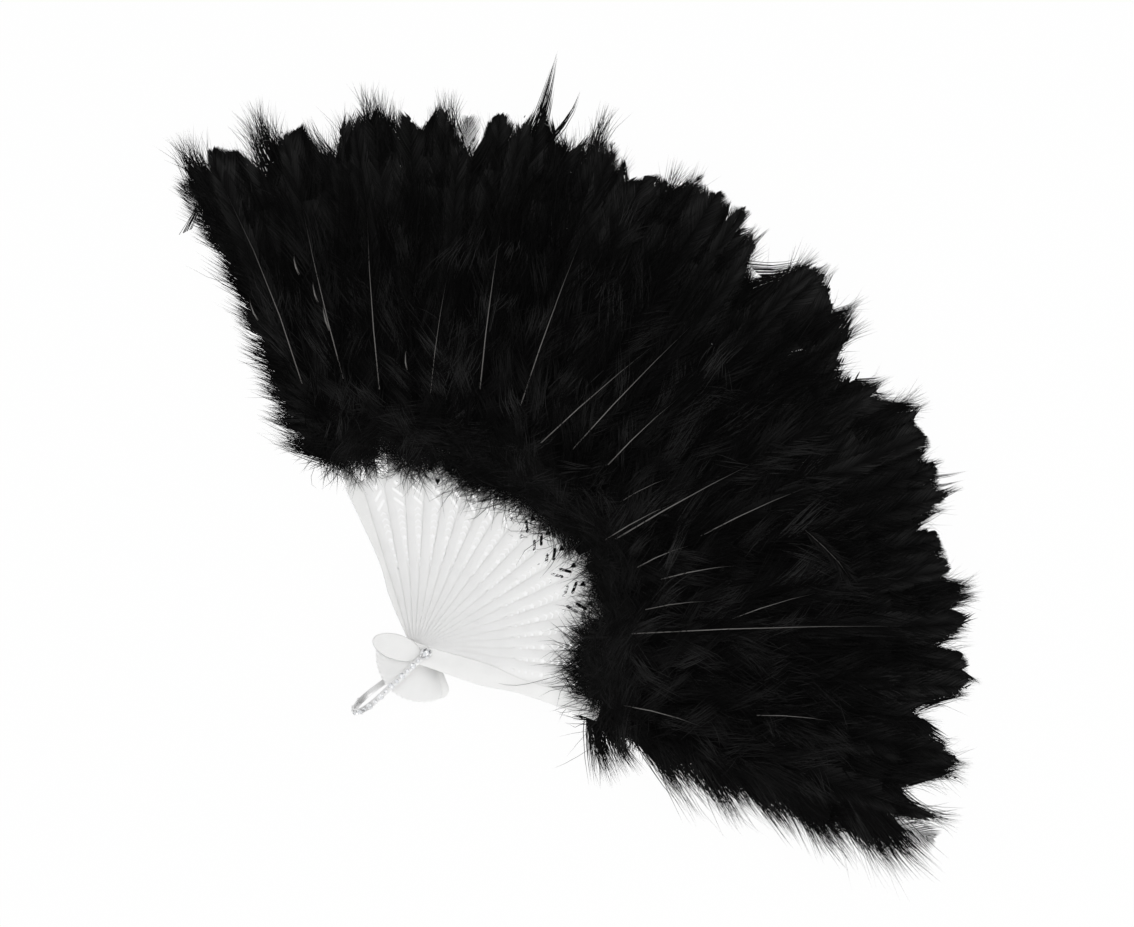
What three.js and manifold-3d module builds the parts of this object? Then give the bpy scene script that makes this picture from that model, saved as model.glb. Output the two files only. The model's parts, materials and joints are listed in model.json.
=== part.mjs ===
// Folding feather fan: pierced plastic sticks between two plain guards, all turning on one rivet.
// A plume is glued to the rib of every stick and guard, and a bail swings on the rivet.
// Millimetres and degrees, +Z towards the front of the fan, +Y along the middle of the open fan.
// The origin is on the rivet's axis, on the flat of its rear head.
import * as THREE from "three";
import { mergeVertices } from "three/addons/utils/BufferGeometryUtils.js";
import Module from "manifold-3d";

// The fan as a whole
const OPEN_ANGLE = 130;
const INNER_STICKS = 18;
const LAST_LAYER = INNER_STICKS + 1;
const FLIPPED_STICKS = [1, 12, 14, 15];

// Gaps
const LAYER_GAP = 0.1;
const RUNNING_GAP = 0.15;
const GLUE_GAP = 0.1;
const PLUME_HEADROOM = 0.05;

// Sticks: a pierced blade with a round tail, and a thin rib that carries the plume
const STICK_THICKNESS = 1.0;
const BLADE_LENGTH = 80;
const BLADE_END_HALF_WIDTH = 5.4;
const BLADE_NECK_HALF_WIDTH = 3.6;
const TAIL_LENGTH = 21.5;
const TAIL_RADIUS = 4;
const RIB_LENGTH = 78;
const RIB_ROOT_HALF_WIDTH = 2.6;
const RIB_TIP_RADIUS = 1.5;
const RIB_OVERLAP = 3;

// Guards: thicker than a stick, waisted, with no piercing and with the hole off their middle line.
// The front one has a long oval tail, and the rear one a stick's tail.
const GUARD_EXTRA = 0.8;
const GUARD_OFFSET = 1.1;
const GUARD_END_HALF_WIDTH = 4.6;
const GUARD_BULGE_HALF_WIDTH = 4.9;
const GUARD_BULGE_AT = 27;
const GUARD_WAIST_HALF_WIDTH = 3.1;
const GUARD_WAIST_AT = 46;
const GUARD_NECK_HALF_WIDTH = 4.3;
const GUARD_TAIL_HALF_WIDTH = 5.4;
const GUARD_TAIL_HALF_LENGTH = 10.8;
const GUARD_TAIL_LENGTH = 23.5;

// Piercing, counted inwards from the blade's outer end
const HEART_INSET = 4.6;
const HEART_WIDTH = 2.4;
const HEART_LENGTH = 3;
const SLIT_COUNT = 2;
const SLIT_PITCH = 4.2;
const SLIT_LENGTH = 6.1;
const SLIT_WIDTH = 1.3;
const SLIT_SLANT = 45;
const CHEVRON_COUNT = 4;
const CHEVRON_PITCH = 2.7;
const CHEVRON_WIDTH = 2.8;
const CHEVRON_RISE = 1.1;
const CHEVRON_BAND = 0.9;
const STAR_POINTS = 5;
const STAR_OUTER_RADIUS = 1.6;
const STAR_INNER_RADIUS = 0.75;
const DOT_COUNT = 4;
const DOT_PITCH = 2.9;
const DOT_RADIUS = 0.7;
const DOT_SIDES = 6;
const MOTIF_STEP = 3.9;

// Plumes: one ragged vane for each stick, which stands for the feathers glued to its rib.
// The places of its widths are shares of its length, and the sweep is a share of a tooth.
const PLUME_LENGTH = 154;
const PLUME_THICKNESS = 0.35;
const PLUME_ROOT_GAP = 0.4;
const PLUME_ROOT_HALF_WIDTH = 11;
const PLUME_DOWN_HALF_WIDTH = 18;
const PLUME_VANE_HALF_WIDTH = 20;
const PLUME_TIP_HALF_WIDTH = 11;
const PLUME_DOWN_FROM = 0.2;
const PLUME_DOWN_TO = 0.5;
const PLUME_VANE_AT = 0.8;
const PLUME_TEETH = 9;
const PLUME_TOOTH_SWEEP = 0.85;
const PLUME_TOOTH_DEPTH = 2.2;
const PLUME_TIP_NOTCH = 5;

// Rivet
const PIN_RADIUS = 1.5;
const RIVET_HEAD_RADIUS = 3;
const RIVET_HEAD_THICKNESS = 1.2;
const SETTING_RADIUS = 2.8;
const SETTING_THICKNESS = 0.7;
const STONE_RADIUS = 2.3;
const STONE_TABLE_RADIUS = 1.3;
const STONE_HEIGHT = 1.3;
const STONE_SIDES = 8;
const ROUND_SIDES = 20;

// Bail: a band bent round the stack of tails, with an eye on each end and moulded studs outside.
// It leans on the rivet, so its rear leg lies behind its front leg by the angle of the lean.
const BAIL_REST_ANGLE = 266;
const BAIL_LEAN = 7;
const BAIL_WIDTH = 3.4;
const BAIL_THICKNESS = 1.0;
const BAIL_EYE_RADIUS = 3.1;
const FINGER_GAP = 15;
const STUD_RADIUS = 1.35;
const STUD_TABLE_RADIUS = 0.75;
const STUD_HEIGHT = 0.8;
const STUD_PITCH = 3.2;
const STUD_SIDES = 6;
const STUD_SINK = 0.2;

const CURVE_STEPS = 2;
const ROUND_STEPS = 5;
const WELD = 1e-4;

// Places that follow from the sizes above
const LAYER_PITCH = STICK_THICKNESS + LAYER_GAP;
const STEP_ANGLE = OPEN_ANGLE / LAST_LAYER;
const PIN_HOLE_RADIUS = PIN_RADIUS + RUNNING_GAP;
const BAIL_REAR_BASE = RIVET_HEAD_THICKNESS + RUNNING_GAP;
const REAR_GUARD_BASE = BAIL_REAR_BASE + BAIL_THICKNESS + RUNNING_GAP;
const FIRST_LAYER_BASE = REAR_GUARD_BASE + GUARD_EXTRA;
const layerBase = (layer) => FIRST_LAYER_BASE + layer * LAYER_PITCH;
const layerAngle = (layer) => 90 + OPEN_ANGLE / 2 - layer * STEP_ANGLE;
const FRONT_GUARD_TOP = layerBase(LAST_LAYER) + STICK_THICKNESS + GUARD_EXTRA;
const BAIL_FRONT_TOP = FRONT_GUARD_TOP + RUNNING_GAP + BAIL_THICKNESS;
const PIN_TOP = BAIL_FRONT_TOP + RUNNING_GAP;
const RIB_THICKNESS = STICK_THICKNESS - PLUME_HEADROOM - PLUME_THICKNESS - GLUE_GAP;
const PLUME_BASE = RIB_THICKNESS + GLUE_GAP;
const PLUME_START = BLADE_LENGTH + PLUME_ROOT_GAP;
const RIB_TIP = BLADE_LENGTH + RIB_LENGTH;

const wasm = await Module();
wasm.setup();
const rad = THREE.MathUtils.degToRad;

// Finishes
const plastic = (name) =>
  new THREE.MeshStandardMaterial({ name, color: 0xf1f1ef, roughness: 0.35, metalness: 0 });
const STICK_PLASTIC = plastic("stick_plastic");
const GUARD_PLASTIC = plastic("guard_plastic");
const FEATHER = new THREE.MeshStandardMaterial({ name: "feather", color: 0x0b0b0c, roughness: 0.75 });
const SILVER = new THREE.MeshStandardMaterial({
  name: "silver", color: 0xd8d9db, roughness: 0.2, metalness: 1,
});
const CRYSTAL = new THREE.MeshStandardMaterial({ name: "crystal", color: 0xf4f6f8, roughness: 0.05 });

// Solids and geometries
function toSolid(geometry) {
  const plain = geometry.index ? geometry.toNonIndexed() : geometry.clone();
  plain.deleteAttribute("normal");
  plain.deleteAttribute("uv");
  const merged = mergeVertices(plain, WELD);
  return new wasm.Manifold(
    new wasm.Mesh({
      numProp: 3,
      vertProperties: new Float32Array(merged.attributes.position.array),
      triVerts: new Uint32Array(merged.index.array),
    }),
  );
}

function toGeometry(solid) {
  const mesh = solid.getMesh();
  const geometry = new THREE.BufferGeometry();
  geometry.setAttribute("position", new THREE.BufferAttribute(mesh.vertProperties, mesh.numProp));
  geometry.setIndex(new THREE.BufferAttribute(mesh.triVerts, 1));
  geometry.computeVertexNormals();
  return geometry;
}

function slab(shape, bottom, top, curveSegments = CURVE_STEPS) {
  const depth = top - bottom;
  const geometry = new THREE.ExtrudeGeometry(shape, { depth, curveSegments, bevelEnabled: false });
  return geometry.translate(0, 0, bottom);
}

function disc(radius, bottom, top, sides = ROUND_SIDES, topRadius = radius) {
  const height = top - bottom;
  const geometry = new THREE.CylinderGeometry(topRadius, radius, height, sides);
  return geometry.rotateX(Math.PI / 2).translate(0, 0, bottom + height / 2);
}

const point = (x, y) => new THREE.Vector2(x, y);
const polygon = (points) => new THREE.Path(points).closePath();

// Outlines
// A paddle: an oval tail, sides through the given [half width, distance] stations, and a square outer end.
function paddle(tailLength, tailHalfWidth, tailHalfLength, stations) {
  const tailCentre = tailHalfLength - tailLength;
  const right = stations.map(([halfWidth, along]) => point(halfWidth, along));
  const left = stations.map(([halfWidth, along]) => point(-halfWidth, along)).reverse();
  const shape = new THREE.Shape();
  shape.absellipse(0, tailCentre, tailHalfWidth, tailHalfLength, Math.PI, 2 * Math.PI);
  shape.splineThru(right);
  shape.lineTo(left[0].x, left[0].y);
  shape.splineThru([...left.slice(1), point(-tailHalfWidth, tailCentre)]);
  return shape;
}

function ribOutline() {
  const root = BLADE_LENGTH - RIB_OVERLAP;
  const shape = new THREE.Shape();
  shape.moveTo(-RIB_ROOT_HALF_WIDTH, root);
  shape.lineTo(RIB_ROOT_HALF_WIDTH, root);
  shape.lineTo(RIB_TIP_RADIUS, RIB_TIP - RIB_TIP_RADIUS);
  shape.absarc(0, RIB_TIP - RIB_TIP_RADIUS, RIB_TIP_RADIUS, 0, Math.PI);
  return shape;
}

// Piercings, each centred on the stick's own line
function ringOfPoints(count, along, radiusOf) {
  return Array.from({ length: count }, (_, k) => {
    const turn = Math.PI / 2 + (2 * Math.PI * k) / count;
    return point(radiusOf(k) * Math.cos(turn), along + radiusOf(k) * Math.sin(turn));
  });
}

const dot = (along) => polygon(ringOfPoints(DOT_SIDES, along, () => DOT_RADIUS));

const star = (along) =>
  polygon(
    ringOfPoints(2 * STAR_POINTS, along, (k) => (k % 2 ? STAR_INNER_RADIUS : STAR_OUTER_RADIUS)),
  );

function chevron(along) {
  const half = CHEVRON_WIDTH / 2;
  const low = along - CHEVRON_RISE / 2;
  const high = along + CHEVRON_RISE / 2;
  return polygon([
    point(-half, low - CHEVRON_BAND / 2), point(0, high - CHEVRON_BAND / 2),
    point(half, low - CHEVRON_BAND / 2), point(half, low + CHEVRON_BAND / 2),
    point(0, high + CHEVRON_BAND / 2), point(-half, low + CHEVRON_BAND / 2),
  ]);
}

function slit(along, side) {
  const half = SLIT_LENGTH / 2;
  const corner = half - SLIT_WIDTH / 2;
  const edge = SLIT_WIDTH / 2;
  const outline = [[-half, 0], [-corner, -edge], [corner, -edge], [half, 0], [corner, edge], [-corner, edge]];
  const turn = rad(90 + side * SLIT_SLANT);
  const centre = point(0, 0);
  return polygon(
    outline.map(([x, y]) => point(x, y).rotateAround(centre, turn).add(point(0, along))),
  );
}

function heart(along) {
  const half = HEART_WIDTH / 2;
  const tip = along - HEART_LENGTH / 2;
  const brow = along + HEART_LENGTH / 2;
  const cheek = along + HEART_LENGTH / 5;
  return polygon([
    point(0, tip), point(half, cheek), point(half / 2, brow), point(0, (cheek + brow) / 2),
    point(-half / 2, brow), point(-half, cheek),
  ]);
}

function piercings(side) {
  const holes = [];
  let along = BLADE_LENGTH - HEART_INSET;
  const row = (count, pitch, motif) => {
    for (let k = 0; k < count; k++) {
      holes.push(motif(along));
      along -= k < count - 1 ? pitch : MOTIF_STEP;
    }
  };
  row(1, 0, heart);
  row(SLIT_COUNT, SLIT_PITCH, (at) => slit(at, side));
  row(CHEVRON_COUNT, CHEVRON_PITCH, chevron);
  row(1, 0, star);
  row(DOT_COUNT, DOT_PITCH, dot);
  return holes;
}

// Sticks and guards. A tail is its length, half width and half length.
const STICK_TAIL = [TAIL_LENGTH, TAIL_RADIUS, TAIL_RADIUS];
const OVAL_TAIL = [GUARD_TAIL_LENGTH, GUARD_TAIL_HALF_WIDTH, GUARD_TAIL_HALF_LENGTH];
const pinHole = () => toSolid(disc(PIN_HOLE_RADIUS, -LAYER_PITCH, 2 * LAYER_PITCH + GUARD_EXTRA));
const rib = () => toSolid(slab(ribOutline(), 0, RIB_THICKNESS));

function stickGeometry(side) {
  const outline = paddle(...STICK_TAIL, [
    [BLADE_NECK_HALF_WIDTH, 0],
    [(BLADE_NECK_HALF_WIDTH + BLADE_END_HALF_WIDTH) / 2, BLADE_LENGTH / 2],
    [BLADE_END_HALF_WIDTH, BLADE_LENGTH],
  ]);
  outline.holes.push(...piercings(side));
  const blade = toSolid(slab(outline, 0, STICK_THICKNESS));
  return toGeometry(blade.add(rib()).subtract(pinHole()));
}

function guardGeometry(tail, bottom, top) {
  const outline = paddle(...tail, [
    [GUARD_NECK_HALF_WIDTH, 0],
    [GUARD_BULGE_HALF_WIDTH, GUARD_BULGE_AT],
    [GUARD_WAIST_HALF_WIDTH, GUARD_WAIST_AT],
    [GUARD_END_HALF_WIDTH, BLADE_LENGTH],
  ]);
  const blade = toSolid(slab(outline, bottom, top, ROUND_STEPS).translate(GUARD_OFFSET, 0, 0));
  return toGeometry(blade.add(rib()).subtract(pinHole()));
}

// Plume: a ragged vane, the same on both sides of its quill
function plumeOutline() {
  const vane = new THREE.SplineCurve([
    point(PLUME_ROOT_HALF_WIDTH, 0),
    point(PLUME_DOWN_HALF_WIDTH, PLUME_LENGTH * PLUME_DOWN_FROM),
    point(PLUME_DOWN_HALF_WIDTH, PLUME_LENGTH * PLUME_DOWN_TO),
    point(PLUME_VANE_HALF_WIDTH, PLUME_LENGTH * PLUME_VANE_AT),
    point(PLUME_TIP_HALF_WIDTH, PLUME_LENGTH),
  ]);
  const right = [];
  for (let k = 0; k < PLUME_TEETH; k++) {
    const notch = vane.getPoint(k / PLUME_TEETH);
    const tip = vane.getPoint((k + PLUME_TOOTH_SWEEP) / PLUME_TEETH);
    right.push(point(notch.x - PLUME_TOOTH_DEPTH, PLUME_START + notch.y));
    right.push(point(tip.x, PLUME_START + tip.y));
  }
  const left = right.map((p) => point(-p.x, p.y)).reverse();
  const tipNotch = point(0, right[right.length - 1].y - PLUME_TIP_NOTCH);
  return new THREE.Shape([...right, tipNotch, ...left]);
}

const plumeGeometry = () => slab(plumeOutline(), PLUME_BASE, PLUME_BASE + PLUME_THICKNESS);

// Rivet
function pinGeometry() {
  const head = toSolid(disc(RIVET_HEAD_RADIUS, 0, RIVET_HEAD_THICKNESS));
  return toGeometry(head.add(toSolid(disc(PIN_RADIUS, 0, PIN_TOP))));
}

const settingGeometry = () => disc(SETTING_RADIUS, PIN_TOP, PIN_TOP + SETTING_THICKNESS);

function stoneGeometry() {
  const base = PIN_TOP + SETTING_THICKNESS;
  return disc(STONE_RADIUS, base, base + STONE_HEIGHT, STONE_SIDES, STONE_TABLE_RADIUS);
}

// Bail: its centre line runs out along the front leg, round the bow and back along the rear leg
const BOW_RADIUS = (BAIL_FRONT_TOP - BAIL_REAR_BASE) / 2;
const BOW_HEIGHT = BAIL_REAR_BASE + BOW_RADIUS;
const BOW_LENGTH = Math.PI * BOW_RADIUS;
const LEG_LENGTH = Math.max(TAIL_LENGTH, GUARD_TAIL_LENGTH) + FINGER_GAP + BAIL_THICKNESS - BOW_RADIUS;

function bandOutline() {
  const inside = BOW_RADIUS - BAIL_THICKNESS;
  const shape = new THREE.Shape();
  shape.moveTo(0, BOW_HEIGHT + BOW_RADIUS);
  shape.lineTo(LEG_LENGTH, BOW_HEIGHT + BOW_RADIUS);
  shape.absarc(LEG_LENGTH, BOW_HEIGHT, BOW_RADIUS, Math.PI / 2, -Math.PI / 2, true);
  shape.lineTo(0, BOW_HEIGHT - BOW_RADIUS);
  shape.lineTo(0, BOW_HEIGHT - inside);
  shape.absarc(LEG_LENGTH, BOW_HEIGHT, inside, -Math.PI / 2, Math.PI / 2, false);
  shape.lineTo(0, BOW_HEIGHT + inside);
  return shape;
}

// Where a stud stands on the outside of the front leg or the bow, and the way it points, in the band's plane
function studPlace(travel) {
  const top = Math.PI / 2;
  if (travel < LEG_LENGTH) return { along: travel, height: BOW_HEIGHT + BOW_RADIUS, turn: top };
  const turn = top - (travel - LEG_LENGTH) / BOW_RADIUS;
  const along = LEG_LENGTH + BOW_RADIUS * Math.cos(turn);
  return { along, height: BOW_HEIGHT + BOW_RADIUS * Math.sin(turn), turn };
}

function studSolid({ along, height, turn }) {
  const stud = disc(STUD_RADIUS, -STUD_SINK, STUD_HEIGHT, STUD_SIDES, STUD_TABLE_RADIUS);
  stud.rotateY(Math.PI / 2).rotateZ(turn).translate(along, height, 0);
  return toSolid(stud);
}

// Turns each level of the bail about the rivet, from nothing at the front leg to the full lean at the rear
function leaning(geometry) {
  const place = geometry.attributes.position;
  const axis = new THREE.Vector3(0, 0, 1);
  const spot = new THREE.Vector3();
  for (let k = 0; k < place.count; k++) {
    spot.fromBufferAttribute(place, k);
    const share = (BAIL_FRONT_TOP - spot.z) / (BAIL_FRONT_TOP - BAIL_REAR_BASE);
    spot.applyAxisAngle(axis, -rad(BAIL_LEAN) * share);
    place.setXYZ(k, spot.x, spot.y, spot.z);
  }
  return geometry;
}

function bailGeometry() {
  const band = slab(bandOutline(), -BAIL_WIDTH / 2, BAIL_WIDTH / 2, 2 * ROUND_STEPS);
  let bail = toSolid(band);
  const firstStud = SETTING_RADIUS + RUNNING_GAP + STUD_RADIUS;
  const studs = 1 + Math.floor((LEG_LENGTH + BOW_LENGTH - firstStud) / STUD_PITCH);
  for (let k = 0; k < studs; k++) bail = bail.add(studSolid(studPlace(firstStud + k * STUD_PITCH)));
  // From the band's plane, with X along the leg, to legs along -Y with the bow's axis along X
  const stand = new THREE.Matrix4().makeBasis(
    new THREE.Vector3(0, -1, 0), new THREE.Vector3(0, 0, 1), new THREE.Vector3(-1, 0, 0),
  );
  let standing = toSolid(leaning(toGeometry(bail).applyMatrix4(stand)));
  for (const base of [BAIL_REAR_BASE, BAIL_FRONT_TOP - BAIL_THICKNESS])
    standing = standing.add(toSolid(disc(BAIL_EYE_RADIUS, base, base + BAIL_THICKNESS)));
  return toGeometry(standing.subtract(toSolid(disc(PIN_HOLE_RADIUS, 0, PIN_TOP))));
}

// Assembly
const fan = new THREE.Group();

function piece(parent, name, geometry, material) {
  const mesh = new THREE.Mesh(geometry, material);
  mesh.name = name;
  parent.add(mesh);
  return mesh;
}

function layerGroup(layer) {
  const group = new THREE.Group();
  group.position.z = layerBase(layer);
  group.rotation.z = rad(layerAngle(layer) - 90);
  fan.add(group);
  return group;
}

const PLUME = plumeGeometry();
const STICKS = { plain: stickGeometry(1), flipped: stickGeometry(-1) };

const rear = layerGroup(0);
piece(rear, "rear_guard", guardGeometry(STICK_TAIL, -GUARD_EXTRA, STICK_THICKNESS), GUARD_PLASTIC);
piece(rear, "plume_rear_guard", PLUME, FEATHER);

for (let layer = 1; layer <= INNER_STICKS; layer++) {
  const label = String(layer).padStart(2, "0");
  const group = layerGroup(layer);
  const geometry = FLIPPED_STICKS.includes(layer) ? STICKS.flipped : STICKS.plain;
  piece(group, `stick_${label}`, geometry, STICK_PLASTIC);
  piece(group, `plume_${label}`, PLUME, FEATHER);
}

const front = layerGroup(LAST_LAYER);
piece(front, "front_guard", guardGeometry(OVAL_TAIL, 0, STICK_THICKNESS + GUARD_EXTRA), GUARD_PLASTIC);
piece(front, "plume_front_guard", PLUME, FEATHER);

piece(fan, "pivot_rivet", pinGeometry(), SILVER);
piece(fan, "rivet_setting", settingGeometry(), SILVER);
piece(fan, "rivet_stone", stoneGeometry(), CRYSTAL);

const bailGroup = new THREE.Group();
bailGroup.rotation.z = rad(BAIL_REST_ANGLE - 270);
fan.add(bailGroup);
piece(bailGroup, "bail", bailGeometry(), SILVER);

export default fan;
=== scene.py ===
"""Folding feather fan: finishes, feathers, guards and bail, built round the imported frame.

Every length here is in millimetres, and it is turned to metres where a mesh is made.
"""
from __future__ import annotations

import json
import logging
import math
from collections.abc import Sequence
from dataclasses import dataclass
from enum import Enum

import bmesh
import bpy
import numpy as np
from mathutils import Matrix, Vector

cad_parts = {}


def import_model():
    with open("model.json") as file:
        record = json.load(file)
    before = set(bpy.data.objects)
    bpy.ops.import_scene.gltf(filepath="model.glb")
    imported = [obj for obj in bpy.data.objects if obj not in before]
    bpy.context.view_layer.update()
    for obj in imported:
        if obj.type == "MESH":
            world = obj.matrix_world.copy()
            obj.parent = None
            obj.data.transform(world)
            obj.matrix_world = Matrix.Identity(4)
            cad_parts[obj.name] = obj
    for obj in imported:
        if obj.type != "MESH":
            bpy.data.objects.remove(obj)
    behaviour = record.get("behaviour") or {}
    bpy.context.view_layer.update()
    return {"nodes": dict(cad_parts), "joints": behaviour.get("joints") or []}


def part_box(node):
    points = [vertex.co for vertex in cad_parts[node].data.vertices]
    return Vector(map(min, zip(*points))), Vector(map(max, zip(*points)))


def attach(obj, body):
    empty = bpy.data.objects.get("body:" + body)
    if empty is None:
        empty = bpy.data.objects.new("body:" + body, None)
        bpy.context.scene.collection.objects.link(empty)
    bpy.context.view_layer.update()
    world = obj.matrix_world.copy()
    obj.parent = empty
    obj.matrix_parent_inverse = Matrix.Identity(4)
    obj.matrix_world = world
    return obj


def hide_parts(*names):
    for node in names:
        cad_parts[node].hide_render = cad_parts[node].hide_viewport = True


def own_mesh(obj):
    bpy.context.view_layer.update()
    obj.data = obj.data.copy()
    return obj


LOG = logging.getLogger("feather_fan")
MM = 0.001
BARB_MAP = "OFBake"
SEED = 20
# Neighbouring faces that turn by less than this are made one
FLAT_LIMIT = math.radians(0.05)
# Points nearer to each other than WELD, in metres, are one point, and nearer to a face than SKIN lie on it
WELD = 1e-6
SKIN = 1e-5
# The colour sockets of a Mix node, which share their names with its number sockets
MIX_A = 6
MIX_B = 7
MIX_RESULT = 2
KERATIN_IOR = 1.54
# The direction in which the photograph shows the fan's middle, in degrees
MIDDLE_DEG = 47.55


def linear(hex_colour: str) -> tuple[float, float, float, float]:
    """Turns an sRGB hex colour into linear RGBA.

    Args:
        hex_colour: six hex digits, with or without a leading hash.

    Returns:
        Linear red, green and blue, and an alpha of one.
    """
    digits = hex_colour.lstrip("#")
    parts = [int(digits[k:k + 2], 16) / 255 for k in (0, 2, 4)]
    curve = [c / 12.92 if c <= 0.04045 else ((c + 0.055) / 1.055) ** 2.4 for c in parts]
    return (curve[0], curve[1], curve[2], 1.0)


def add_node(
    tree: bpy.types.NodeTree,
    kind: str,
    settings: dict[str, object] | None = None,
    inputs: dict[str | int, object] | None = None,
) -> bpy.types.Node:
    """Adds one node, sets it up and links its inputs.

    Args:
        tree: the node tree that gets the node.
        kind: the node's type name.
        settings: node properties by name.
        inputs: socket values or output sockets, by socket name or number.

    Returns:
        The new node.
    """
    node = tree.nodes.new(kind)
    for name, value in (settings or {}).items():
        setattr(node, name, value)
    for key, value in (inputs or {}).items():
        if isinstance(value, bpy.types.NodeSocket):
            tree.links.new(value, node.inputs[key])
        else:
            node.inputs[key].default_value = value
    return node


def set_ramp(node: bpy.types.Node, stops: Sequence[tuple[float, str]]) -> None:
    """Writes a colour ramp's stops.

    Args:
        node: the colour ramp node.
        stops: places from 0 to 1 with sRGB hex colours, in order.
    """
    elements = node.color_ramp.elements
    while len(elements) < len(stops):
        elements.new(1.0)
    for element, (place, colour) in zip(elements, stops):
        element.position = place
        element.color = linear(colour)


def new_material(name: str) -> tuple[bpy.types.Material, bpy.types.NodeTree, bpy.types.Node]:
    """Makes an empty node material with its output.

    Args:
        name: the material's name.

    Returns:
        The material, its node tree and its output node.
    """
    material = bpy.data.materials.new(name)
    material.use_nodes = True
    tree = material.node_tree
    tree.nodes.clear()
    output = add_node(tree, "ShaderNodeOutputMaterial")
    return material, tree, output


def per_mm(pitch: float) -> float:
    """Gives the texture scale whose pattern repeats about every pitch millimetres on Object coordinates."""
    return 1.0 / (pitch * MM)


class Side(Enum):
    """The two sides of a quill, as the sign of the sideways direction."""

    LEFT = 1
    RIGHT = -1


@dataclass(frozen=True)
class MouldedPolypropylene:
    """White polypropylene, injection moulded: milky, softly glossy, with faint flow clouds."""

    name: str
    light: str = "#fcfcfb"
    dark: str = "#f8f8f7"
    roughness: float = 0.34
    milk: float = 0.55
    depth_mm: float = 1.7
    flow_mm: float = 9.0
    clouds: tuple[float, float] = (0.3, 0.7)
    grain_mm: float = 0.8
    grain_depth_mm: float = 0.1
    grain_bump: float = 0.08
    smoother: float = 0.06
    duller: float = 0.08
    ior: float = 1.49

    def material(self) -> bpy.types.Material:
        """Builds the material."""
        material, tree, output = new_material(self.name)
        place = add_node(tree, "ShaderNodeTexCoord").outputs["Object"]
        flow = add_node(
            tree, "ShaderNodeTexNoise", {}, {"Vector": place, "Scale": per_mm(self.flow_mm), "Detail": 3.0}
        )
        ramp = add_node(tree, "ShaderNodeValToRGB", {}, {"Fac": flow.outputs["Fac"]})
        set_ramp(ramp, [(self.clouds[0], self.dark), (self.clouds[1], self.light)])
        grain = add_node(
            tree, "ShaderNodeTexNoise", {}, {"Vector": place, "Scale": per_mm(self.grain_mm), "Detail": 2.0}
        )
        gloss = add_node(
            tree,
            "ShaderNodeMapRange",
            {},
            {
                "Value": grain.outputs["Fac"],
                "To Min": self.roughness - self.smoother,
                "To Max": self.roughness + self.duller,
            },
        )
        bump = add_node(
            tree,
            "ShaderNodeBump",
            {},
            {
                "Height": grain.outputs["Fac"],
                "Strength": self.grain_bump,
                "Distance": self.grain_depth_mm * MM,
            },
        )
        shader = add_node(
            tree,
            "ShaderNodeBsdfPrincipled",
            {},
            {
                "Base Color": ramp.outputs["Color"],
                "Roughness": gloss.outputs["Result"],
                "IOR": self.ior,
                "Subsurface Weight": self.milk,
                "Subsurface Radius": (1.0, 1.0, 1.0),
                "Subsurface Scale": self.depth_mm * MM,
                "Normal": bump.outputs["Normal"],
            },
        )
        tree.links.new(shader.outputs["BSDF"], output.inputs["Surface"])
        return material


@dataclass(frozen=True)
class DyedBarb:
    """Black-dyed feather barbs: near-black, each a little different, softly shiny along their length."""

    name: str
    shades: tuple[str, ...] = ("#040404", "#131313", "#222222", "#343434")
    # Painted shade: the share of its colour that a barb keeps at its root, and how far along it the
    # darkening reaches
    painted_shade_at_root: float = 0.3
    painted_shade_reach: float = 0.6
    roughness: float = 0.6
    gloss: float = 0.06

    def material(self) -> bpy.types.Material:
        """Builds the material, which reads how far along a barb a point is and which shade the barb has."""
        material, tree, output = new_material(self.name)
        places = add_node(tree, "ShaderNodeUVMap", {"uv_map": BARB_MAP})
        axes = add_node(tree, "ShaderNodeSeparateXYZ", {}, {"Vector": places.outputs["UV"]})
        ramp = add_node(tree, "ShaderNodeValToRGB", {}, {"Fac": axes.outputs["Y"]})
        steps = len(self.shades) - 1
        set_ramp(ramp, [(k / steps, shade) for k, shade in enumerate(self.shades)])
        # Painted shade: each barb darkens towards its root, as if in the shadow of the down over it
        along = add_node(
            tree,
            "ShaderNodeMapRange",
            {},
            {
                "Value": axes.outputs["X"],
                "From Max": self.painted_shade_reach,
                "To Min": self.painted_shade_at_root,
                "To Max": 1.0,
            },
        )
        colour = add_node(
            tree,
            "ShaderNodeMix",
            {"data_type": "RGBA", "blend_type": "MULTIPLY"},
            {"Factor": 1.0, MIX_A: ramp.outputs["Color"], MIX_B: along.outputs["Result"]},
        )
        shader = add_node(
            tree,
            "ShaderNodeBsdfPrincipled",
            {},
            {
                "Base Color": colour.outputs[MIX_RESULT],
                "Roughness": self.roughness,
                "IOR": KERATIN_IOR,
                "Specular IOR Level": self.gloss,
            },
        )
        tree.links.new(shader.outputs["BSDF"], output.inputs["Surface"])
        return material


@dataclass(frozen=True)
class QuillHorn:
    """The horn of a feather's quill: dyed grey, smooth and shiny, paler towards the root."""

    name: str
    root: str = "#747270"
    tip: str = "#333231"
    fade: tuple[float, float] = (0.2, 0.95)
    roughness: float = 0.28

    def material(self) -> bpy.types.Material:
        """Builds the material."""
        material, tree, output = new_material(self.name)
        places = add_node(tree, "ShaderNodeUVMap", {"uv_map": BARB_MAP})
        axes = add_node(tree, "ShaderNodeSeparateXYZ", {}, {"Vector": places.outputs["UV"]})
        ramp = add_node(tree, "ShaderNodeValToRGB", {}, {"Fac": axes.outputs["X"]})
        set_ramp(ramp, [(self.fade[0], self.root), (self.fade[1], self.tip)])
        shader = add_node(
            tree,
            "ShaderNodeBsdfPrincipled",
            {},
            {"Base Color": ramp.outputs["Color"], "Roughness": self.roughness, "IOR": KERATIN_IOR},
        )
        tree.links.new(shader.outputs["BSDF"], output.inputs["Surface"])
        return material


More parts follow.
